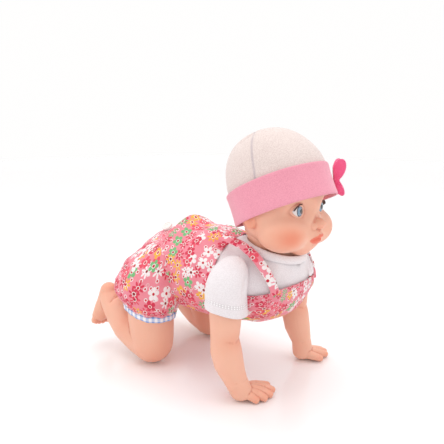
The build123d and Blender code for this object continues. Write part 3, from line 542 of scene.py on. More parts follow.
RIGHT_FINGERS = [
    ((-53, -80, 7.5), (-52, -86.5, 6.4), (-50.5, -91.5, 3.9), 3.8),
    ((-48.5, -83, 8), (-45.5, -90, 6.6), (-42.5, -95, 3.9), 4.0),
    ((-44, -83, 8.5), (-38.5, -90, 7), (-34, -95, 3.9), 4.1),
    ((-40.5, -80.5, 8.5), (-32, -87.5, 7), (-26, -92, 4), 4.1),
    ((-46, -72, 8), (-33, -78, 7), (-22, -83.5, 4.2), 4.3),
]
LEFT_FINGERS = [
    ((62, -72, 7.5), (73, -74, 6.4), (82, -77, 3.9), 3.8),
    ((63, -76, 8), (74, -79.5, 6.6), (83.5, -83, 3.9), 4.0),
    ((62, -79, 8.5), (72.5, -84.5, 7), (81.5, -88.5, 3.9), 4.1),
    ((60, -81, 8.5), (68, -88, 7), (75.5, -93, 4), 4.1),
    ((55, -80, 8), (58, -88, 6.5), (62.5, -94, 4.2), 4.3),
]
mould_arm("left_arm_moulding", 1, (57.5, -75.5, 8.2), LEFT_FINGERS, "left_arm", "left_arm")
mould_arm("right_arm_moulding", -1, (-52.5, -76.5, 8.2), RIGHT_FINGERS, "right_arm", "right_arm")

# ---------------------------------------------------------------- head
# A rotation-moulded vinyl head with baby cheeks, a small nose and parted coral lips.
# It turns on the collar's plug; the face is painted by spray at the cheeks and lips.
FACE_EYE = np.array((18.4, -105.5, 171.5))
EYE_BALL = 8.5
LID = 1.1
LID_SHIFT = 0.2
OPENING_HALF_WIDTH = 8.3
OPENING_HALF_HEIGHT = 5.2
SOCKET_HALF_WIDTH = 9.6
SOCKET_HALF_HEIGHT = 7.6
LID_DEPTH = 2.4
NECK_PLACE = np.array((0, -76, 131.6))
NECK_TILT = radians(15)
skull_balls = [
    ((0, -80, 182), (42, 41.5, 45)), ((0, -82, 170), (42, 37, 36)), ((0, -89, 160), (38, 31, 28)),
    ((13, -90, 179), (26, 26, 20)), ((-13, -90, 179), (26, 26, 20)),
    ((21.5, -97.5, 152.5), (22.5, 24, 19)), ((-21.5, -97.5, 152.5), (22.5, 24, 19)),
    ((0, -100, 148), (24, 21, 18)), ((0, -102.5, 140), (14.5, 12.5, 12)), ((0, -111, 149), (13.5, 13, 9.5)),
]
face_balls = [
    ((0, -102, 138), (11, 9.5, 8.6)), ((0, -113, 164), (4.6, 7.5, 9)), ((0, -120, 159.4), (5.8, 6.8, 5.2)),
    ((5.2, -117.6, 157.4), (4, 4.4, 3.8)), ((-5.2, -117.6, 157.4), (4, 4.4, 3.8)),
    ((40.5, -76, 163), (4, 6, 8)), ((-40.5, -76, 163), (4, 6, 8)),
]
neck_balls = ball_chain([
    ((0, -76, 150), (29, 29, 10)), ((0, -76.5, 141), (26, 26, 7)), ((0, -76, 136), (25.4, 25.4, 5)),
])
skull = mould_vinyl("skull", skull_balls, 1.6, 30)
head_moulding = mould_vinyl("head_moulding", face_balls + neck_balls, 0.85, 12, skull)

push(head_moulding, (0, -125, 160), (4.5, 6, 4), (0, -1.6, 0.4))
push(head_moulding, (0, -112, 169), (5, 6, 5), (0, 1.2, 0))
push(head_moulding, (0, -119, 153), (2.2, 5, 2.6), (0, 1.3, 0))
for side in (1, -1):
    push(head_moulding, (side * 2.6, -120.5, 155.2), (1.3, 1.6, 1.2), (0, 1.6, 1.7))
    push(head_moulding, (side * 18.5, -117, 171.5), (11, 12, 8.5), (0, 2.6, 0))
    nostril_fold = [(side * 8.3, -113, 160), (side * 7.6, -116, 157), (side * 5.6, -118, 155)]
    crease(head_moulding, nostril_fold, 1.0, 0.9)
    mouth_corner = [(side * 10.6, -114, 146.5), (side * 11, -112.5, 144), (side * 10, -112, 141.5)]
    crease(head_moulding, mouth_corner, 1.5, 1.0)
    push(head_moulding, (side * 44, -77, 164), (3, 3.4, 5), (-side * 1.6, 0, 0))


def face_front(x, z):
    """Where the face's skin lies in front of a place across and up."""
    points = points_of(head_moulding)
    near = points[(np.hypot(points[:, 0] - x, points[:, 2] - z) < 1.6) & (points[:, 1] < -85)]
    return float(near[:, 1].min())


def face_path(*places):
    """A path on the face's skin through places across and up."""
    return [(x, face_front(x, z), z) for x, z in places]


push(head_moulding, (0, face_front(0, 148.6), 148.8), (6.4, 5, 2.5), (0, -2.0, 0.2))
push(head_moulding, (0, face_front(0, 143.2), 143.4), (5.4, 5, 2.4), (0, -1.5, 0))
MOUTH = ((-10.4, 145.0), (-6, 145.4), (-2.6, 146.3), (0, 145.6), (2.6, 146.3), (6, 145.4), (10.4, 145.0))
crease(head_moulding, face_path(*MOUTH), 1.15, 1.9)
crease(head_moulding, face_path((-6, 139.8), (0, 138.6), (6, 139.8)), 2.0, 1.0)
crease(head_moulding, face_path((0, 154), (0, 150.4)), 1.2, 0.6)

points = points_of(head_moulding)
for side in (1, -1):
    eye = FACE_EYE * (side, 1, 1)
    ray = points - eye
    reach = np.linalg.norm(ray, axis=1)
    across = (points[:, 0] - eye[0]) * side
    up = points[:, 2] - eye[2]
    front = points[:, 1] < eye[1] + 2
    from_socket = np.hypot(across / SOCKET_HALF_WIDTH, (up - 0.3) / SOCKET_HALF_HEIGHT)
    socket = np.clip(1.5 - from_socket, 0, 0.5) / 0.5
    socket = np.where(front, socket * socket * (3 - 2 * socket), 0)
    lidded = eye + ray / reach[:, None] * (EYE_BALL + LID)
    points = points + (lidded - points) * socket[:, None]
    from_middle = np.abs(across + LID_SHIFT)
    tip = np.clip(from_middle / OPENING_HALF_WIDTH, 0, 1)
    upper = OPENING_HALF_HEIGHT * (1 - tip**2.4) + LID_SHIFT
    lower = -OPENING_HALF_HEIGHT * (1 - tip**2.2) + LID_SHIFT
    edge = np.minimum(upper - up, up - lower)
    open_eye = np.clip(edge + 0.5, 0, 1) * front * (from_middle < OPENING_HALF_WIDTH)
    ray = points - eye
    reach = np.linalg.norm(ray, axis=1)
    sunk = eye + ray / reach[:, None] * (EYE_BALL - LID_DEPTH)
    points = points + (sunk - points) * open_eye[:, None]
put_points(head_moulding, points)
LID_FOLD = ((10.5, 175.4), (14, 178.3), (18.4, 179.3), (23, 178.2), (26, 175.6))
for side in (1, -1):
    lid_fold = [(side * x, -113.5 + abs(x - FACE_EYE[0]) * 0.18, z) for x, z in LID_FOLD]
    crease(head_moulding, lid_fold, 0.9, 0.7)
JAW = [
    (-41, -62, 160), (-39, -74, 152.5), (-36, -86, 146), (-29, -97, 141), (-18, -104, 136.5), (0, -103, 132),
]
crease(head_moulding, JAW, 1.5, 1.0)
crease(head_moulding, [(-x, y, z) for x, y, z in JAW], 1.5, 1.0)

neck_up = np.array((0, -sin(NECK_TILT), cos(NECK_TILT)))
points = points_of(head_moulding)
above = (points - NECK_PLACE) @ neck_up
put_points(head_moulding, points + neck_up * np.clip(-above, 0, 40)[:, None])
cheeks = [((side * 34, -112, 150), (11, 16, 9.5), 0.72) for side in (1, -1)]
nose = [((0, -126, 158), (8, 6, 6), 0.2), ((0, -106, 134), (14, 10, 6), 0.15)]
ears = [((side * 45, -77, 161), (6, 8, 11), 0.55) for side in (1, -1)]
throat = [((0, -84, 134), (34, 34, 7), 0.42)]
blush(head_moulding, cheeks + nose + ears + throat)
points = points_of(head_moulding)
across = np.abs(points[:, 0])
LIP_TOP = 150.2
LIP_BOTTOM = 140.6
LIP_HALF_WIDTH = 10.2
top_line = LIP_TOP + 0.7 * np.exp(-(((across - 2.6) / 1.8) ** 2)) - (across / 10) ** 2 * 3.8
low_line = LIP_BOTTOM + (across / 9.8) ** 2 * 3.6
colour = np.clip(np.minimum(top_line - points[:, 2], points[:, 2] - low_line) / 0.7 + 0.5, 0, 1)
colour *= (points[:, 1] < -100) * (across < LIP_HALF_WIDTH)
paint_layer(head_moulding, "lips", colour * 0.9)
paint_crease_shade(head_moulding)
coat(head_moulding, skin_vinyl)
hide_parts("head")
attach(head_moulding, "head")

# ---------------------------------------------------------------- eyes and lashes
# Glossy acrylic eyes with a painted blue-grey iris sit behind the lids.
# Dark nylon lashes are set in the edge of each upper lid.
IRIS_EDGE = 0.0051
PUPIL_EDGE = 0.0024
for side, node in ((1, "left_eye"), (-1, "right_eye")):
    gaze = new_finish(node + "_acrylic", 0.06, Coat_Weight=0.8, Coat_Roughness=0.03)
    look = np.array((side * -0.02, -1.0, 0.02))
    look /= np.linalg.norm(look)
    front = tuple(float(v) for v in (FACE_EYE * (side, 1, 1) + look * EYE_BALL) * MM)
    away = add_node(gaze, "VectorMath", {"operation": "SUBTRACT"}, (0, object_place(gaze)), (1, front))
    radius = add_node(gaze, "VectorMath", {"operation": "LENGTH"}, (0, away.outputs[0])).outputs["Value"]
    split = add_node(gaze, "SeparateXYZ", {}, (0, away.outputs[0]))
    angle = sums(gaze, "ARCTAN2", split.outputs["X"], split.outputs["Z"])
    spokes = sums(gaze, "MULTIPLY", angle, 5.0)
    rings = sums(gaze, "MULTIPLY", radius, 260.0)
    rays = add_node(gaze, "CombineXYZ", {}, ("X", spokes), ("Y", rings))
    streak = speckle(gaze, rays.outputs[0], 2.2, 4.0)
    iris = blend_colours(gaze, band(gaze, streak, 0.35, 0.65), shade(74, 110, 142), shade(150, 182, 204))
    iris = blend_colours(gaze, band(gaze, radius, 0.0029, 0.0018), iris, shade(168, 190, 200))
    iris = blend_colours(gaze, band(gaze, radius, 0.0042, IRIS_EDGE), iris, shade(30, 40, 56))
    iris = blend_colours(gaze, band(gaze, radius, PUPIL_EDGE, 0.002), iris, shade(10, 10, 14))
    veins = speckle(gaze, object_place(gaze), 500.0)
    white = blend_colours(gaze, veins, shade(238, 236, 236), shade(228, 218, 216))
    give_colour(gaze, blend_colours(gaze, band(gaze, radius, IRIS_EDGE, 0.0056), iris, white))
    dress(gaze, node)

lash_nylon = new_finish("lash_nylon", 0.45)
lash_fade = speckle(lash_nylon, object_place(lash_nylon), 900.0)
give_colour(lash_nylon, blend_colours(lash_nylon, lash_fade, shade(52, 34, 26), shade(92, 58, 42)))
give_relief(lash_nylon, lash_fade, 0.00003)
LASH_COUNT = 31
LASH_SPREAD = 7.6


def set_lashes(name, side):
    """A thin dark lid line with tapering lashes leaning up and out of it."""
    eye = FACE_EYE * (side, 1, 1)
    bpy.ops.object.select_all(action="DESELECT")
    hairs = []
    for step in range(LASH_COUNT):
        across = -LASH_SPREAD + step * 2 * LASH_SPREAD / (LASH_COUNT - 1)
        tip = min(abs(across) / OPENING_HALF_WIDTH, 1)
        up = 5.4 * (1 - tip**2.4) + 0.35
        depth = (EYE_BALL + 1.0) ** 2 - (across - LID_SHIFT) ** 2 - up**2
        root = eye + np.array(((across - LID_SHIFT) * side, -np.sqrt(max(depth, 9.0)), up))
        length = 1.5 + 1.3 * max(across, 0) / LASH_SPREAD
        lean = np.array((side * across * 0.07, -0.75, 0.5))
        bpy.ops.mesh.primitive_cone_add(
            vertices=6, radius1=0.6 * MM, radius2=0.08 * MM, depth=length * MM,
            location=Vector(root + lean * length * 0.35) * MM,
            rotation=Vector(lean).to_track_quat("Z", "Y").to_euler(),
        )
        hairs.append(bpy.context.object)
    for hair in hairs:
        hair.select_set(True)
    bpy.ops.object.join()
    lashes = bpy.context.object
    lashes.name = name
    bpy.ops.object.transform_apply()
    bpy.ops.object.shade_smooth()
    lashes.data.materials.append(lash_nylon)
    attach(lashes, "head")


set_lashes("left_lashes", 1)
set_lashes("right_lashes", -1)

# ---------------------------------------------------------------- shirt
# A white cotton-jersey T-shirt: body, two set-in short sleeves with a twin-stitched hem, and a rib band.
# Each panel is cut flat, wrapped round the doll and sewn, so its knit follows the cloth.
TORSO = np.array([
    # place along the body, half width, half height, middle height
    (-97, 24, 16, 99), (-90, 33, 24, 98), (-75, 38, 30, 97.5), (-50, 40.5, 35, 98), (-10, 42, 38.5, 100.5),
    (30, 42.5, 39, 101), (60, 40, 35, 98), (82, 32, 27, 94), (96, 18, 14, 90),
])
SEAM_REACH = 0.00005


def torso_size(y):
    """Half width, half height and middle height of the body at places along it."""
    return [np.interp(y, TORSO[:, 0], TORSO[:, column]) for column in (1, 2, 3)]


def sew(name, columns, rows, cut, place, thick=0.0, closed=False):
    """Cut a cloth of cut = (width, length) in millimetres, and lay it with place(across, along)."""
    bpy.ops.object.select_all(action="DESELECT")
    bpy.ops.mesh.primitive_grid_add(x_subdivisions=columns, y_subdivisions=rows, size=1)
    cloth = bpy.context.object
    cloth.name = name
    cloth.data.name = name
    flat = np.empty(len(cloth.data.vertices) * 3)
    cloth.data.vertices.foreach_get("co", flat)
    flat = flat.reshape(-1, 3)
    map_uv = np.empty(len(cloth.data.loops) * 2)
    cloth.data.uv_layers.active.data.foreach_get("uv", map_uv)
    map_uv = map_uv.reshape(-1, 2) * np.array(cut) * MM
    cloth.data.uv_layers.active.data.foreach_set("uv", map_uv.ravel())
    put_points(cloth, np.stack(place(flat[:, 0] + 0.5, flat[:, 1] + 0.5), axis=1))
    if closed:
        bpy.ops.object.mode_set(mode="EDIT")
        bpy.ops.mesh.select_all(action="SELECT")
        bpy.ops.mesh.remove_doubles(threshold=SEAM_REACH)
        bpy.ops.object.mode_set(mode="OBJECT")
    outward(cloth)
    if thick:
        cloth["thick"] = thick
    return cloth


def outward(cloth):
    """Turn the faces so that they look away from the middle line of the doll's body."""
    points = points_of(cloth)
    middle = points.mean(0)
    if float(((points - middle) * normals_of(cloth)).sum()) < 0:
        bpy.ops.object.mode_set(mode="EDIT")
        bpy.ops.mesh.select_all(action="SELECT")
        bpy.ops.mesh.flip_normals()
        bpy.ops.object.mode_set(mode="OBJECT")


def cut_away(cloth, unwanted):
    """Snip out part of a cloth."""
    bpy.ops.object.select_all(action="DESELECT")
    cloth.select_set(True)
    bpy.context.view_layer.objects.active = cloth
    bpy.ops.object.mode_set(mode="EDIT")
    bpy.ops.mesh.select_mode(type="VERT")
    bpy.ops.mesh.select_all(action="DESELECT")
    bpy.ops.object.mode_set(mode="OBJECT")
    cloth.data.vertices.foreach_set("select", unwanted)
    bpy.ops.object.mode_set(mode="EDIT")
    bpy.ops.mesh.delete(type="VERT")
    bpy.ops.object.mode_set(mode="OBJECT")


def finish_cloth(cloth, finish, levels=1):
    """Thickness, softening and the cloth's finish."""
    bpy.ops.object.select_all(action="DESELECT")
    cloth.select_set(True)
    bpy.context.view_layer.objects.active = cloth
    shell = cloth.modifiers.new("thickness", "SOLIDIFY")
    shell.thickness = cloth["thick"] * MM
    shell.offset = -1
    shell.use_even_offset = False
    bpy.ops.object.modifier_apply(modifier=shell.name)
    if levels:
        soften = cloth.modifiers.new("soften", "SUBSURF")
        soften.levels = levels
        soften.render_levels = levels
        bpy.ops.object.modifier_apply(modifier=soften.name)
    bpy.ops.object.shade_smooth()
    del cloth["thick"]
    coat(cloth, finish)


WALE = 0.0009
COURSE = 0.0007
STITCH = 0.0026
TWIN_GAP = 0.0016


def jersey(name, light, dark, heather, hem=0.0):
    """Fine single jersey: tiny loops, a heathered tone and, hem metres up, a twin row of stitches with
    painted shade in the channel along each row.
    """
    finish = new_finish(name, 0.85, Sheen_Weight=0.35, Sheen_Roughness=0.5, Specular_IOR_Level=0.2)
    weave = add_node(finish, "UVMap", {}).outputs[0]
    split = add_node(finish, "SeparateXYZ", {}, (0, weave))
    ribs = sums(finish, "SINE", sums(finish, "MULTIPLY", split.outputs["X"], 2 * pi / WALE))
    rows = sums(finish, "SINE", sums(finish, "MULTIPLY", split.outputs["Y"], 2 * pi / COURSE))
    loops = sums(finish, "MULTIPLY_ADD", sums(finish, "MULTIPLY", ribs, rows), 0.25, 0.5)
    place = object_place(finish)
    fleck = band(finish, speckle(finish, place, 1150.0, 4.0), 0.36, 0.68)
    cloud = speckle(finish, place, 45.0)
    base = blend_colours(finish, sums(finish, "MULTIPLY", fleck, heather), shade(*light), shade(*dark))
    base = blend_colours(finish, sums(finish, "MULTIPLY", cloud, 0.25), base, shade(*dark))
    if hem:
        for row in (hem, hem + TWIN_GAP):
            apart = sums(finish, "ABSOLUTE", sums(finish, "SUBTRACT", split.outputs["Y"], row))
            stitches = sums(finish, "SINE", sums(finish, "MULTIPLY", split.outputs["X"], 2 * pi / STITCH))
            dash = band(finish, stitches, -0.2, 0.1)
            line = sums(finish, "MULTIPLY", band(finish, apart, 0.00055, 0.0003), dash)
            # Painted shade: a greyer band darkens the channel along each stitch row.
            stitch_channel_shade = band(finish, apart, 0.0012, 0.0005)
            base = blend_colours(finish, sums(finish, "MULTIPLY", stitch_channel_shade, 0.45), base, shade(206, 197, 201))
            base = blend_colours(finish, line, base, shade(252, 250, 250))
    give_colour(finish, base)
    fuzz = sums(finish, "ADD", sums(finish, "MULTIPLY", loops, 0.6), sums(finish, "MULTIPLY", fleck, 0.6))
    give_relief(finish, fuzz, 0.00016)
    return finish


white_jersey = jersey("white_jersey", (243, 237, 239), (214, 205, 208), 0.4)
SHIRT_PROUD = 3.2
SHIRT_FRONT = -103
SHIRT_LENGTH = 108
NECK_OPENING = 24.8


def lay_shirt(across, along):
    """The shirt's body, closed round the chest and out over the shoulders."""
    y = SHIRT_FRONT + along * SHIRT_LENGTH
    half_width, half_height, middle = torso_size(np.maximum(y, -91))
    turn = (across - 0.5) * 2 * pi
    end = np.sqrt(np.clip((y - SHIRT_FRONT) / 10, 0, 1))
    ripple = 0.5 * np.sin(turn * 9 + y * 0.22) * np.exp(-(((y + 62) / 16) ** 2))
    x = (half_width + SHIRT_PROUD + ripple) * np.sin(turn) * end
    z = middle + (half_height + SHIRT_PROUD + ripple) * np.cos(turn) * end
    shoulder = np.exp(-(((y + 66) / 19) ** 2)) * np.exp(-(((z - 112) / 15) ** 2))
    x = x + np.sign(np.sin(turn)) * 5.5 * shoulder * np.clip(np.abs(x) / 30, 0, 1)
    return x, y, z


shirt_panel = sew("shirt_panel", 120, 60, (250, SHIRT_LENGTH), lay_shirt, 0.9, closed=True)
neck_side = np.array((0, -76, 131.0))
points = points_of(shirt_panel)
local = points - neck_side
height = local @ neck_up
spread = local - height[:, None] * neck_up
radius = np.linalg.norm(spread, axis=1)
yoke = 8.5 * np.exp(-((np.clip(radius - 26, 0, 99) / 7.5) ** 2)) * (height > -22)
put_points(shirt_panel, points + neck_up * yoke[:, None])
cut_away(shirt_panel, (radius < NECK_OPENING) & (height > -9))
for side in (-1, 1):
    crease(shirt_panel, [(side * 46, -46, 120), (side * 42, -60, 131), (side * 40, -80, 122)], 2.4, 1.8)
for side in (-1, 1):
    crease(shirt_panel, [(side * 42, -84, 108), (side * 38, -92, 113), (side * 26, -98, 112)], 2.0, 0.9)
finish_cloth(shirt_panel, white_jersey, 0)
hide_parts("shirt_body")
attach(shirt_panel, "torso")

rib_jersey = jersey("rib_neckband", (245, 240, 242), (214, 205, 208), 0.35)
NECKBAND_RADIUS = 27.6


def lay_neckband(across, along):
    """A narrow folded band round the neck, standing square to the neck's own tilt."""
    turn = across * 2 * pi
    section = along * 2 * pi
    wide = NECKBAND_RADIUS + 1.4 * np.cos(section) + 1.3 * (1 - np.sin(section))
    up = 3.5 * np.sin(section) + 1.2 + 1.2 * np.cos(turn) ** 2
    side_way = np.cross(neck_up, (1, 0, 0))
    x = wide * 1.03 * np.cos(turn)
    around = wide * np.sin(turn)
    y = neck_side[1] + around * side_way[1] + up * neck_up[1]
    z = neck_side[2] + around * side_way[2] + up * neck_up[2]
    return x, y, z


neckband = sew("neckband", 96, 16, (172, 24), lay_neckband, closed=True)
coat(neckband, rib_jersey)
bpy.ops.object.shade_smooth()
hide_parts("shirt_neckband")
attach(neckband, "torso")

sleeve_jersey = jersey("sleeve_jersey", (243, 237, 239), (214, 205, 208), 0.4, hem=0.0075)
SLEEVE_PLACE = (58.8, -63.6)
SLEEVE_RADIUS = 18.4
SLEEVE_HEM = 83.4
SLEEVE_TOP = 130.5


def lay_sleeve(side):
    """A short sleeve from the shoulder seam down to a hem that is lower at the front."""
    def place(across, along):
        turn = across * 2 * pi
        hem_low = SLEEVE_HEM - 4.4 * np.cos(turn - 4.03)
        z = hem_low + (SLEEVE_TOP - hem_low) * (1 - (1 - along) ** 1.25)
        dome = np.clip((z - 104) / 26.5, 0, 1)
        radius = SLEEVE_RADIUS * np.sqrt(np.clip(1 - dome**2.3, 0.0, 1)) + 0.01
        flare = (0.6 * np.sin(turn * 5 + 0.8) + 0.7) * (1 - along) ** 2
        lean = np.clip((z - 98) / 32, 0, 1)
        hem_roll = 0.5 * np.exp(-(((z - hem_low) / 2.2) ** 2))
        out = radius + flare + hem_roll
        x = side * (SLEEVE_PLACE[0] - 11 * lean**1.5 + out * np.cos(turn))
        y = SLEEVE_PLACE[1] + out * np.sin(turn)
        return x, y, z
    return place


for side, name, node, arm_body in (
    (1, "left_sleeve_panel", "left_sleeve", "left_arm"),
    (-1, "right_sleeve_panel", "right_sleeve", "right_arm"),
):
    sleeve = sew(name, 72, 44, (120, 52), lay_sleeve(side), 0.9, closed=True)
    for fold, depth in (
        ([(side * 44, -50, 122), (side * 56, -44, 114), (side * 66, -44, 102)], 2.0),
        ([(side * 46, -74, 121), (side * 54, -80, 112), (side * 58, -82, 98)], 2.4),
        ([(side * 42, -78, 112), (side * 47, -80, 100), (side * 52, -81, 88)], 1.8),
        ([(side * 72, -48, 112), (side * 79, -58, 104), (side * 78, -70, 92)], 1.1),
    ):
        crease(sleeve, fold, 2.2, depth)
    finish_cloth(sleeve, sleeve_jersey, 1)
    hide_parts(node)
    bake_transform(sleeve)

# ---------------------------------------------------------------- romper
# Printed cotton rompers: a full seat, two gathered leg bubbles with gingham binding, a bib and straps.
# The print runs with each cut piece; the back is closed with two moulded flower buttons.
RING_REPEAT = 0.0074
THREAD = 0.0005
DAISIES = (
    # repeat, shift of the print, how loosely it is strewn, share left out, size
    (0.0128, (0, 0, 0), 0.6, -0.1, 0.5),
    (0.0145, (0.052, 0.087, 0), 0.7, 0.42, 0.43),
)


def steps(finish, operation, vector, other):
    """The result of a Vector Math node."""
    return add_node(finish, "VectorMath", {"operation": operation}, (0, vector), other).outputs[0]


def printed_cotton(name):
    """Pink cotton lawn printed with round and pointed daisies and ring dots, over a plain weave."""
    finish = new_finish(name, 0.8, Sheen_Weight=0.2, Sheen_Roughness=0.45, Specular_IOR_Level=0.25)
    flat = add_node(finish, "UVMap", {}).outputs[0]
    drift = add_node(finish, "TexNoise", {}, ("Vector", flat), ("Scale", 60.0)).outputs["Color"]
    drift = steps(finish, "SUBTRACT", drift, (1, (0.5, 0.5, 0.5)))
    drift = steps(finish, "SCALE", drift, ("Scale", 0.0012))
    cloth_place = steps(finish, "ADD", flat, (1, drift))
    tone = speckle(finish, flat, 130.0)
    colour = blend_colours(finish, tone, shade(236, 134, 150), shade(243, 152, 164))

    def motif(repeat, shift, loose):
        """The nearest motif's own polar place and its random numbers, for a print repeat in metres."""
        moved = steps(finish, "ADD", cloth_place, (1, shift))
        scaled = steps(finish, "SCALE", moved, ("Scale", 1 / repeat))
        settings = {"voronoi_dimensions": "2D", "feature": "F1"}
        inputs = (("Vector", scaled), ("Scale", 1.0), ("Randomness", loose))
        cells = add_node(finish, "TexVoronoi", settings, *inputs)
        local = steps(finish, "SUBTRACT", scaled, (1, cells.outputs["Position"]))
        split = add_node(finish, "SeparateXYZ", {}, (0, local))
        luck = add_node(finish, "SeparateColor", {}, (0, cells.outputs["Color"]))
        angle = sums(finish, "ARCTAN2", split.outputs["Y"], split.outputs["X"])
        angle = sums(finish, "MULTIPLY_ADD", luck.outputs[0], 6.28, angle)
        return cells.outputs["Distance"], angle, luck.outputs

    def petals(angle, count, sharp):
        """How far the petal edge reaches, from 0 between petals to 1 at a tip."""
        wave = sums(finish, "ABSOLUTE", sums(finish, "COSINE", sums(finish, "MULTIPLY", angle, count / 2)))
        return sums(finish, "POWER", wave, sharp)

    def paint(colour, mask, ink):
        """The print so far with one more ink on it."""
        return blend_colours(finish, mask, colour, ink)

    reach, angle, luck = motif(RING_REPEAT, (0.31, 0.17, 0), 0.9)
    ring = sums(finish, "MULTIPLY", band(finish, reach, 0.26, 0.22), band(finish, luck[1], 0.25, 0.26))
    colour = paint(colour, ring, shade(248, 236, 236))
    dot = sums(finish, "MULTIPLY", ring, band(finish, reach, 0.15, 0.12))
    colour = paint(colour, dot, shade(206, 46, 66))
    for repeat, shift, loose, low, size in DAISIES:
        reach, angle, luck = motif(repeat, shift, loose)
        here = band(finish, luck[2], low, low + 0.02)
        pointed = band(finish, luck[1], 0.5, 0.51)
        round_edge = sums(finish, "MULTIPLY_ADD", petals(angle, 5, 0.42), size * 0.72, size * 0.24)
        sharp_edge = sums(finish, "MULTIPLY_ADD", petals(angle, 7, 1.1), size * 0.85, size * 0.14)
        inputs = ((0, pointed), (2, round_edge), (3, sharp_edge))
        edge_mix = add_node(finish, "Mix", {"data_type": "FLOAT"}, *inputs)
        gap = sums(finish, "SUBTRACT", edge_mix.outputs[0], reach)
        shape = sums(finish, "MULTIPLY", band(finish, gap, 0.0, 0.03), here)
        inks = add_node(finish, "ValToRGB", {}, (0, luck[0]))
        inks.color_ramp.interpolation = "CONSTANT"
        stops = (
            (0.0, shade(247, 240, 240)), (0.33, shade(219, 62, 88)), (0.6, shade(122, 190, 128)),
            (0.74, shade(246, 186, 72)), (0.86, shade(236, 88, 108)),
        )
        ramp = inks.color_ramp.elements
        ramp[0].color = stops[0][1]
        ramp[1].position, ramp[1].color = stops[1]
        for position, ink in stops[2:]:
            ramp.new(position).color = ink
        colour = paint(colour, shape, inks.outputs[0])
        heart = sums(finish, "MULTIPLY", band(finish, reach, 0.16, 0.13), here)
        colour = paint(colour, heart, shade(250, 244, 240))
        eye = sums(finish, "MULTIPLY", band(finish, reach, 0.115, 0.085), here)
        seeds = add_node(finish, "ValToRGB", {}, (0, luck[1]))
        seeds.color_ramp.interpolation = "CONSTANT"
        seeds.color_ramp.elements[0].color = shade(200, 40, 60)
        seeds.color_ramp.elements[1].position = 0.7
        seeds.color_ramp.elements[1].color = shade(150, 40, 50)
        colour = paint(colour, eye, seeds.outputs[0])
    give_colour(finish, colour)
    split = add_node(finish, "SeparateXYZ", {}, (0, flat))
    warp = sums(finish, "SINE", sums(finish, "MULTIPLY", split.outputs["X"], 2 * pi / THREAD))
    weft = sums(finish, "SINE", sums(finish, "MULTIPLY", split.outputs["Y"], 2 * pi / THREAD))
    crumple = sums(finish, "MULTIPLY", speckle(finish, object_place(finish), 160.0, 4.0), 2.6)
    weave = sums(finish, "MULTIPLY", sums(finish, "MULTIPLY", warp, weft), 0.12)
    relief = sums(finish, "ADD", weave, crumple)
    give_relief(finish, relief, 0.0004)
    return finish


flower_cotton = printed_cotton("flower_cotton")
SEAT_PROUD = 7.0
SEAT_FRONT = -37
SEAT_LENGTH = 145
SEAT_END = 109
PUFF_WAVES = 9


def rumple(cloth, size, depth, seed):
    """Small soft irregular puffs all over a cloth, the same each time."""
    points = points_of(cloth)
    order = np.random.default_rng(seed)
    lift = np.zeros(len(points))
    for _ in range(PUFF_WAVES):
        way = order.normal(size=3)
        way /= np.linalg.norm(way)
        wave = size * order.uniform(0.7, 1.5)
        bend = 1.6 * np.sin(points[:, 0] / size)
        lift += np.sin(points @ way * 2 * pi / wave + order.uniform(0, 6.28) + bend)
    put_points(cloth, points + normals_of(cloth) * (lift / 3 * depth)[:, None])


def lay_seat(across, along):
    """The body of the romper, from behind the sleeves back over the seat, fuller and lower behind."""
    y = SEAT_FRONT + along * SEAT_LENGTH
    half_width, half_height, middle = torso_size(np.clip(y, -97, 95.9))
    turn = (across - 0.5) * 2 * pi
    close = np.sqrt(np.clip((SEAT_END - y) / 24, 0, 1))
    proud = SEAT_PROUD - 2.2 * np.clip((-12 - y) / 22, 0, 1) - 4.0 * np.clip((y - 30) / 22, 0, 1)
    peak = 6.0 * np.exp(-(((y - 27) / 10) ** 2)) * np.exp(-((turn / 0.62) ** 2))
    dip = 3.0 * np.exp(-(((y - 8) / 12) ** 2)) * np.exp(-((turn / 0.7) ** 2))
    width = np.maximum(half_width, 33) + proud
    height = np.maximum(half_height, 20) + proud
    low_belly = np.where(np.cos(turn) < 0, 1, 0)
    droop = 11.0 * np.exp(-(((y - 84) / 34) ** 2)) + 3.0 * np.exp(-(((y + 5) / 30) ** 2))
    pleat = 0.8 * np.sin(turn * 16 + 0.6 * np.sin(y * 0.2)) * np.exp(-(((y + 34) / 12) ** 2))
    pleat += 0.9 * np.sin(turn * 11 + y * 0.1) * np.exp(-(((y - 98) / 13) ** 2))
    x = (width + pleat) * np.sin(turn) * close
    tall = (height + pleat + peak - dip + droop * low_belly) * np.cos(turn)
    z = middle + tall * (0.2 + 0.8 * close)
    return x, y, z


seat_panel = sew("seat_panel", 132, 96, (290, SEAT_LENGTH), lay_seat, 1.0, closed=True)
rumple(seat_panel, 24, 0.55, 4)
for side in (1, -1):
    crease(seat_panel, [(side * 12, 44, 146), (side * 30, 30, 138), (side * 44, 20, 122)], 2.4, 1.6)
    crease(seat_panel, [(side * 20, 60, 140), (side * 36, 62, 124), (side * 44, 60, 112)], 2.6, 1.5)
    front_seam = [(side * 45, -17, 128), (side * 50, -22, 112), (side * 52, -28, 96), (side * 50, -30, 82)]
    crease(seat_panel, front_seam, 1.1, 1.3)
    crease(seat_panel, [(side * 47, -19, 124), (side * 54, -24, 108), (side * 55, -30, 90)], 3.0, -0.9)
crease(seat_panel, [(-18, 24, 151), (0, 21, 153), (18, 24, 151)], 2.6, 1.8)
crease(seat_panel, [(-24, 41, 147), (0, 38, 150), (24, 41, 147)], 2.2, 1.2)
finish_cloth(seat_panel, flower_cotton, 0)
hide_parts("romper_seat")
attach(seat_panel, "torso")

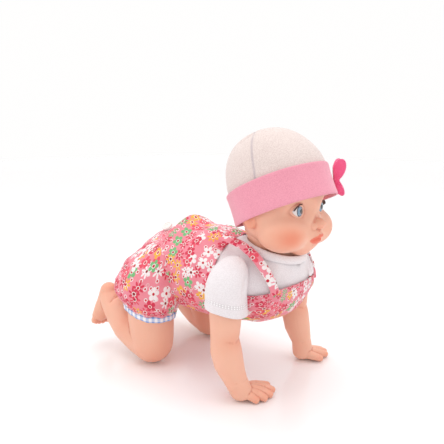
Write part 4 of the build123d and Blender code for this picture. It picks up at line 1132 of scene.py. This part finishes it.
LEG_RINGS = np.array([
    # height, radius, forward or back, outwards
    (60.0, 26.6, 49.5, 45.0), (62.5, 29.4, 49.5, 45.2), (67.0, 32.6, 50.5, 46.0), (75.0, 34.6, 52.0, 46.0),
    (86.0, 34.6, 52.0, 44.6), (97.0, 33.0, 50.5, 42.0), (108.0, 29.6, 48.5, 38.5), (118.0, 23.0, 46.0, 34.5),
    (126.0, 12.0, 44.0, 31.0), (129.5, 0.1, 43.0, 30.0),
])
OPENING_SLOPE = 0.24


def lay_leg(side):
    """A gathered bubble from the hip down to the leg opening, fullest just above the binding."""
    def place(across, along):
        turn = across * 2 * pi
        heights = np.interp(along, np.linspace(0, 1, len(LEG_RINGS)), LEG_RINGS[:, 0])
        radius = np.interp(heights, LEG_RINGS[:, 0], LEG_RINGS[:, 1])
        y_mid = np.interp(heights, LEG_RINGS[:, 0], LEG_RINGS[:, 2])
        x_mid = np.interp(heights, LEG_RINGS[:, 0], LEG_RINGS[:, 3])
        gather = np.exp(-((heights - 61) / 6.5) ** 2)
        folds = gather * (0.9 * np.sin(turn * 15 + 1.3 * np.sin(turn * 3)) + 0.5 * np.sin(turn * 8))
        x = side * (x_mid + (radius + folds) * 0.92 * np.cos(turn))
        y = y_mid + (radius + folds) * 1.03 * np.sin(turn)
        z = heights + (y - 49) * OPENING_SLOPE * np.clip((100 - heights) / 38, 0, 1)
        return x, y, z
    return place


gingham_cotton = new_finish("gingham_cotton", 0.8, Sheen_Weight=0.2, Specular_IOR_Level=0.25)
gingham_flat = add_node(gingham_cotton, "UVMap", {}).outputs[0]
gingham_split = add_node(gingham_cotton, "SeparateXYZ", {}, (0, gingham_flat))
CHECK_REPEAT = 0.0058
gingham_lines = []
for axis in ("X", "Y"):
    checks = sums(gingham_cotton, "DIVIDE", gingham_split.outputs[axis], CHECK_REPEAT)
    wave = sums(gingham_cotton, "FRACT", checks)
    gingham_lines.append(band(gingham_cotton, sums(gingham_cotton, "PINGPONG", wave, 0.5), 0.235, 0.265))
gingham_share = sums(gingham_cotton, "MULTIPLY", sums(gingham_cotton, "ADD", *gingham_lines), 0.5)
gingham_thread = speckle(gingham_cotton, object_place(gingham_cotton), 900.0)
gingham_blue = blend_colours(gingham_cotton, gingham_thread, shade(104, 150, 216), shade(126, 168, 226))
give_colour(gingham_cotton, blend_colours(gingham_cotton, gingham_share, shade(246, 246, 250), gingham_blue))
give_relief(gingham_cotton, gingham_thread, 0.0001)
BINDING_RADIUS = 27.0
BINDING_HEIGHT = 58.6


def lay_binding(side):
    """A folded strip round the leg opening, snug on the thigh."""
    def place(across, along):
        turn = across * 2 * pi
        section = along * 2 * pi
        radius = BINDING_RADIUS + 1.4 * np.cos(section) + 0.35 * np.sin(turn * 15 + 1.3 * np.sin(turn * 3))
        height = BINDING_HEIGHT + 3.4 * np.sin(section)
        x = side * (45 + radius * 0.93 * np.cos(turn))
        y = 49.5 + radius * 1.03 * np.sin(turn)
        z = height + (y - 49) * OPENING_SLOPE + 0.5 * np.sin(turn * 4 + 1)
        return x, y, z
    return place


for side, leg_name, leg_node, binding_name, binding_node, leg_body in (
    (1, "left_leg_bubble", "left_romper_leg", "left_gingham_binding", "left_leg_binding", "left_leg"),
    (-1, "right_leg_bubble", "right_romper_leg", "right_gingham_binding", "right_leg_binding", "right_leg"),
):
    bubble = sew(leg_name, 108, 54, (212, 92), lay_leg(side), 1.0, closed=True)
    rumple(bubble, 20, 0.6, 11)
    for fold, depth in (
        ([(side * 72, 30, 73), (side * 78, 45, 70), (side * 76, 62, 68), (side * 68, 76, 68)], 1.7),
        ([(side * 66, 22, 84), (side * 74, 30, 78), (side * 79, 44, 76)], 1.2),
        ([(side * 60, 78, 92), (side * 52, 84, 80), (side * 46, 86, 70)], 1.3),
        ([(side * 55, 20, 70), (side * 66, 28, 66), (side * 74, 42, 64)], 1.2),
    ):
        crease(bubble, fold, 2.2, depth)
    finish_cloth(bubble, flower_cotton, 0)
    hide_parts(leg_node)
    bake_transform(bubble)
    binding = sew(binding_name, 120, 14, (172, 17.4), lay_binding(side), closed=True)
    coat(binding, gingham_cotton)
    bpy.ops.object.shade_smooth()
    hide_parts(binding_node)
    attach(binding, leg_body)


BIB_ROWS = np.array([
    # forward, lowest height, half width, rise at the sides, set back at the sides
    (-33, 55.5, 47, 38, 0), (-50, 56.5, 46, 36, 0), (-68, 59, 44.5, 34, 1), (-82, 64, 43, 30, 2),
    (-93, 71.5, 41, 25, 4), (-100.5, 81, 39, 17, 7), (-104.2, 91, 37.5, 9, 8), (-105.2, 98, 37, 3, 8.5),
    (-105.4, 103.5, 36.5, -1.5, 9),
])


def lay_bib(across, along):
    """The front of the romper: under the belly and up the chest to a curved top edge."""
    turn = (across - 0.5) * pi * 1.04
    steps = np.linspace(0, 1, len(BIB_ROWS))
    y, low, half_width, rise, back = [np.interp(1 - along, steps, BIB_ROWS[:, column]) for column in range(5)]
    side = 1 - np.cos(turn)
    return half_width * np.sin(turn), y + back * side, low + rise * side


bib_panel = sew("bib_panel", 84, 48, (158, 74), lay_bib, 1.1)
relax(bib_panel, 6)
rumple(bib_panel, 22, 0.45, 7)
for side in (1, -1):
    crease(bib_panel, [(side * 30, -92, 88), (side * 34, -74, 78), (side * 30, -52, 66)], 2.0, 1.0)
finish_cloth(bib_panel, flower_cotton, 1)
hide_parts("romper_bib")
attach(bib_panel, "torso")

STRAP_WIDTH = 9.0
EASE_ROUNDS = 260


def lay_strip(path, outs, width, bulge):
    """A flat band along a path; outs are its outward directions."""
    path, outs = np.array(path, float), np.array(outs, float)
    outs /= np.linalg.norm(outs, axis=1)[:, None]
    runs = np.concatenate([[0], np.cumsum(np.linalg.norm(np.diff(path, axis=0), axis=1))])
    runs /= runs[-1]

    def smooth(along, values):
        """Values along the band with their corners eased."""
        fine = np.linspace(0, 1, 400)
        line = np.stack([np.interp(fine, runs, values[:, axis]) for axis in range(3)], axis=1)
        for _ in range(EASE_ROUNDS):
            line[1:-1] += (line[:-2] + line[2:] - 2 * line[1:-1]) * 0.25
        return np.stack([np.interp(along, fine, line[:, axis]) for axis in range(3)], axis=1)

    def place(across, along):
        middle = smooth(along, path)
        ahead = smooth(np.clip(along + 0.01, 0, 1), path) - smooth(np.clip(along - 0.01, 0, 1), path)
        ahead /= np.linalg.norm(ahead, axis=1)[:, None] + 1e-9
        out = smooth(along, outs)
        out /= np.linalg.norm(out, axis=1)[:, None]
        sideways = np.cross(ahead, out)
        sideways /= np.linalg.norm(sideways, axis=1)[:, None] + 1e-9
        out = np.cross(sideways, ahead)
        offset = (across - 0.5) * width
        rise = bulge * (1 - (2 * across - 1) ** 2) + 0.25 * np.sin(along * 60 + across * 3)
        return tuple((middle + sideways * offset[:, None] + out * rise[:, None]).T)

    return place


for side, name, node in ((1, "left_strap_band", "left_strap"), (-1, "right_strap_band", "right_strap")):
    strap_path = [
        (side * 32, -30, 144), (side * 34, -40, 143), (side * 35.5, -54, 141), (side * 37, -66, 138.5),
        (side * 38.5, -80, 131.5), (side * 39, -90, 122), (side * 37.5, -97.5, 111), (side * 35, -100.5, 99),
    ]
    strap_outs = [
        (side * 0.5, 0, 1), (side * 0.5, 0, 1), (side * 0.5, -0.1, 1), (side * 0.6, -0.3, 0.9),
        (side * 0.8, -0.6, 0.6), (side * 0.8, -0.8, 0.4), (side * 0.6, -1, 0.3), (side * 0.4, -1, 0.1),
    ]
    lay_strap = lay_strip(strap_path, strap_outs, STRAP_WIDTH, 0.8)
    strap_band = sew(name, 12, 110, (STRAP_WIDTH, 92), lay_strap, 1.3)
    finish_cloth(strap_band, flower_cotton, 1)
    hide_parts(node)
    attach(strap_band, "torso")

# ---------------------------------------------------------------- back buttons
# Two moulded white buttons with a domed rim and a small flower pressed in the middle close the back.
button_plastic = moulded("pearl_button_plastic", (246, 242, 238), (236, 228, 224), 0.28)
BUTTON_RADIUS = 5.8
BUTTON_THICK = 2.2
BUTTON_RINGS = ((0.5, 0.5), (0.7, 0.0), (0.5, -0.7), (1.0, 0.0), (0.5, 0.4), (0.6, 0.0), (0.3, -0.5))
PETAL_RADIUS = 3.1


def press_button(place, out):
    """A disc inset and raised for its rim, with six petals pressed round the middle."""
    bpy.ops.object.select_all(action="DESELECT")
    bpy.ops.mesh.primitive_cylinder_add(vertices=48, radius=BUTTON_RADIUS * MM, depth=BUTTON_THICK * MM)
    button = bpy.context.object
    bpy.ops.object.mode_set(mode="EDIT")
    bpy.ops.mesh.select_all(action="DESELECT")
    bpy.ops.object.mode_set(mode="OBJECT")
    for polygon in button.data.polygons:
        polygon.select = polygon.normal.z > 0.9
    bpy.ops.object.mode_set(mode="EDIT")
    bpy.ops.mesh.select_mode(type="FACE")
    for width, rise in BUTTON_RINGS:
        bpy.ops.mesh.inset(thickness=width * MM, depth=rise * MM)
    bpy.ops.object.mode_set(mode="OBJECT")
    soft_edge = button.modifiers.new("soft_edge", "BEVEL")
    soft_edge.width = 0.25 * MM
    soft_edge.segments = 2
    bpy.ops.object.modifier_apply(modifier=soft_edge.name)
    points = points_of(button)
    turn = np.arctan2(points[:, 1], points[:, 0])
    far = np.hypot(points[:, 0], points[:, 1])
    petal = 0.35 * np.cos(turn * 6) * np.exp(-(((far - PETAL_RADIUS) / 0.9) ** 2)) * (points[:, 2] > 0)
    points[:, 2] += petal
    put_points(button, points)
    bpy.ops.object.shade_smooth_by_angle(angle=radians(35))
    button.rotation_mode = "QUATERNION"
    button.rotation_quaternion = Vector(out).to_track_quat("Z", "Y")
    button.location = Vector(place) * MM
    bpy.ops.object.transform_apply()
    return button


pressed = [
    press_button((side * 13.5, y, z), (side * 0.6, 0.02, 0.8))
    for side, y, z in ((-1, 53.5, 139.4), (1, 50.5, 139.8))
]
for button in pressed:
    button.select_set(True)
bpy.context.view_layer.objects.active = pressed[0]
bpy.ops.object.join()
buttons = bpy.context.object
buttons.name = "flower_buttons"
coat(buttons, button_plastic)
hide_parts("back_buttons")
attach(buttons, "torso")

# ---------------------------------------------------------------- hat
# A heathered jersey beanie: domed crown with side seams and a tuck, and a turned-up pink cuff.
# A hot-pink felt butterfly is stitched to the front of the cuff.
beige_jersey = jersey("beige_jersey", (238, 223, 217), (194, 171, 166), 0.45)
seam_edge = add_node(beige_jersey, "Attribute", {"attribute_name": "seam"}).outputs["Fac"]
beige_shader = beige_jersey.node_tree.nodes["Principled BSDF"]
beige_base = beige_shader.inputs["Base Color"].links[0].from_socket
give_colour(beige_jersey, blend_colours(beige_jersey, seam_edge, beige_base, shade(150, 140, 158)))
CUFF_TILT = radians(22.4)
HAT_UP = np.array((0, sin(CUFF_TILT), cos(CUFF_TILT)))
HAT_BACK = np.array((0, cos(CUFF_TILT), -sin(CUFF_TILT)))
HAT_MIDDLE = np.array((0, -87.2, 168.2))
HAT_HALF = (43.6, 46.8)
BAND_SHARE = 0.24
CROWN_RISE = 54.5


def on_hat(turn, half_x, half_back, height, slide=0.0):
    """A point of the hat: turn 0 is the doll's left side and a quarter turn is the back."""
    across = half_x * np.cos(turn)
    back = half_back * np.sin(turn) + slide
    y = HAT_MIDDLE[1] + HAT_BACK[1] * back + HAT_UP[1] * height
    z = HAT_MIDDLE[2] + HAT_BACK[2] * back + HAT_UP[2] * height
    return across, y, z


def lay_crown(across, along):
    """A straight band under the cuff, then a dome whose back is fuller than its front."""
    turn = across * 2 * pi
    low = along < BAND_SHARE
    dome = (along - BAND_SHARE) / (1 - BAND_SHARE)
    height = np.where(low, 3 + along / BAND_SHARE * 20, 23 + CROWN_RISE * np.sin(dome * pi / 2))
    size = np.where(low, 1, np.cos(np.clip(dome, 0, 1) * pi / 2) ** 0.86)
    size = size + 0.0005
    soft = 0.5 * np.sin(turn * 5 + along * pi / 2 * 3) * (1 - along) * size
    slide = (3.0 * np.clip((height - 14) / 20, 0, 1) + 1.5) * np.clip(np.sin(turn), 0, 1) - 1.5
    slide = slide + 4.0 * np.clip((height - 40) / 36, 0, 1)
    return on_hat(turn, (HAT_HALF[0] - 0.7) * size + soft, (HAT_HALF[1] - 0.3) * size + soft, height, slide)


crown = sew("hat_crown_panel", 128, 60, (292, 96), lay_crown, 1.2, closed=True)
share = np.linspace(0, 1, 13)
SIDE_SEAM = np.stack(lay_crown(0.512 + 0.04 * share, 0.2 + 0.74 * share), axis=1)
for mirrored in (1, -1):
    seam = SIDE_SEAM * (mirrored, 1, 1)
    crease(crown, seam, 1.5, 0.9)
    crease(crown, seam - (0, 4.5, 0), 2.6, -0.5)
    crease(crown, [seam[-3], seam[-3] + (-8 * mirrored, 12, -9)], 2.2, 1.6)
    crease(crown, [seam[-4], seam[-4] + (2 * mirrored, 12, -14)], 2.0, 1.0)
finish_cloth(crown, beige_jersey, 1)
seam_points = points_of(crown)
seam_tone = np.zeros(len(seam_points))
for mirrored in (1, -1):
    seam = SIDE_SEAM * (mirrored, 1, 1)
    for first, second in zip(seam, seam[1:]):
        run = second - first
        share = np.clip(((seam_points - first) @ run) / (run @ run), 0, 1)
        distance = np.linalg.norm(seam_points - (first + share[:, None] * run), axis=1)
        seam_tone = np.maximum(seam_tone, 0.55 * np.exp(-((distance / 1.1) ** 2)))
paint_layer(crown, "seam", seam_tone)
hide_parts("hat_crown")
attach(crown, "head")

pink_jersey = jersey("pink_jersey", (245, 166, 184), (216, 128, 148), 0.4)
CUFF_HALF_WIDTH = 14.8


def lay_cuff(across, along):
    """A doubled band whose folded edges are rounded, standing a little off the crown."""
    turn = across * 2 * pi
    section = along * 2 * pi
    rise = np.sign(np.cos(section)) * np.abs(np.cos(section)) ** 0.32 * -CUFF_HALF_WIDTH
    thick = 1.35 * np.sign(np.sin(section)) * np.abs(np.sin(section)) ** 0.7
    height = CUFF_HALF_WIDTH + rise + 0.8 * np.sin(turn * 2 + 0.5)
    stand = 1.3 + 0.9 * np.exp(-(((height - 29) / 5) ** 2)) + 0.4 * np.sin(turn * 7)
    stand += 0.7 * np.exp(-((height / 4) ** 2))
    half_x = HAT_HALF[0] + stand + thick
    half_back = HAT_HALF[1] + stand + thick
    return on_hat(turn, half_x, half_back, height)


cuff = sew("hat_cuff_band", 144, 40, (308, 64), lay_cuff, closed=True)
coat(cuff, pink_jersey)
bpy.ops.object.shade_smooth()
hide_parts("hat_cuff")
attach(cuff, "head")

pink_felt = new_finish("pink_felt", 0.95, Sheen_Weight=0.6, Sheen_Roughness=0.6, Specular_IOR_Level=0.1)
felt_place = object_place(pink_felt)
felt_fibre = speckle(pink_felt, felt_place, 1500.0, 6.0)
felt_cloud = speckle(pink_felt, felt_place, 220.0)
felt_tone = blend_colours(pink_felt, felt_cloud, shade(250, 84, 142), shade(236, 66, 124))
felt_fuzz = band(pink_felt, felt_fibre, 0.4, 0.7)
give_colour(pink_felt, blend_colours(pink_felt, felt_fuzz, felt_tone, shade(252, 122, 166)))
give_relief(pink_felt, felt_fibre, 0.0003)
BUTTERFLY = np.array((28.6, -119.4, 196.5))
WING_WAY = np.array((0.777, 0.63, 0.0))
WING_OUT = np.array((0.63, -0.777, 0.08))
WING_UP = np.array((0.0, 0.12, 1.0))
UPPER_WING = 13.0
LOWER_WING = 10.0
BODY_HALF_WIDTH = 2.6
FELT_THICK = 1.5


def cut_butterfly():
    """Four rounded wings cut from felt, their tips lifting off the cuff on both sides of a narrow body."""
    bpy.ops.object.select_all(action="DESELECT")
    bpy.ops.mesh.primitive_grid_add(x_subdivisions=64, y_subdivisions=64, size=1)
    felt = bpy.context.object
    felt.name = "felt_butterfly"
    points = points_of(felt) * MM
    u, v = points[:, 0] * 2, points[:, 1] * 2
    turn = np.arctan2(v, np.abs(u) + 1e-9)
    far = np.maximum(np.abs(u), np.abs(v))
    upper = np.exp(-(((turn - 0.78) / 0.62) ** 2)) * UPPER_WING
    lower = np.exp(-(((turn + 0.86) / 0.5) ** 2)) * LOWER_WING
    reach = far * (BODY_HALF_WIDTH + upper + lower)
    x = np.sign(u) * reach * np.cos(turn)
    z = reach * np.sin(turn) * 1.5
    lift = 0.85 * np.abs(x) + 0.8 * np.exp(-((x / 1.2) ** 2))
    x = x * 0.75
    put_points(felt, BUTTERFLY + x[:, None] * WING_WAY + z[:, None] * WING_UP + lift[:, None] * WING_OUT)
    felt["thick"] = FELT_THICK
    return felt


butterfly = cut_butterfly()
finish_cloth(butterfly, pink_felt, 0)
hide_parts("hat_butterfly")
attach(butterfly, "head")
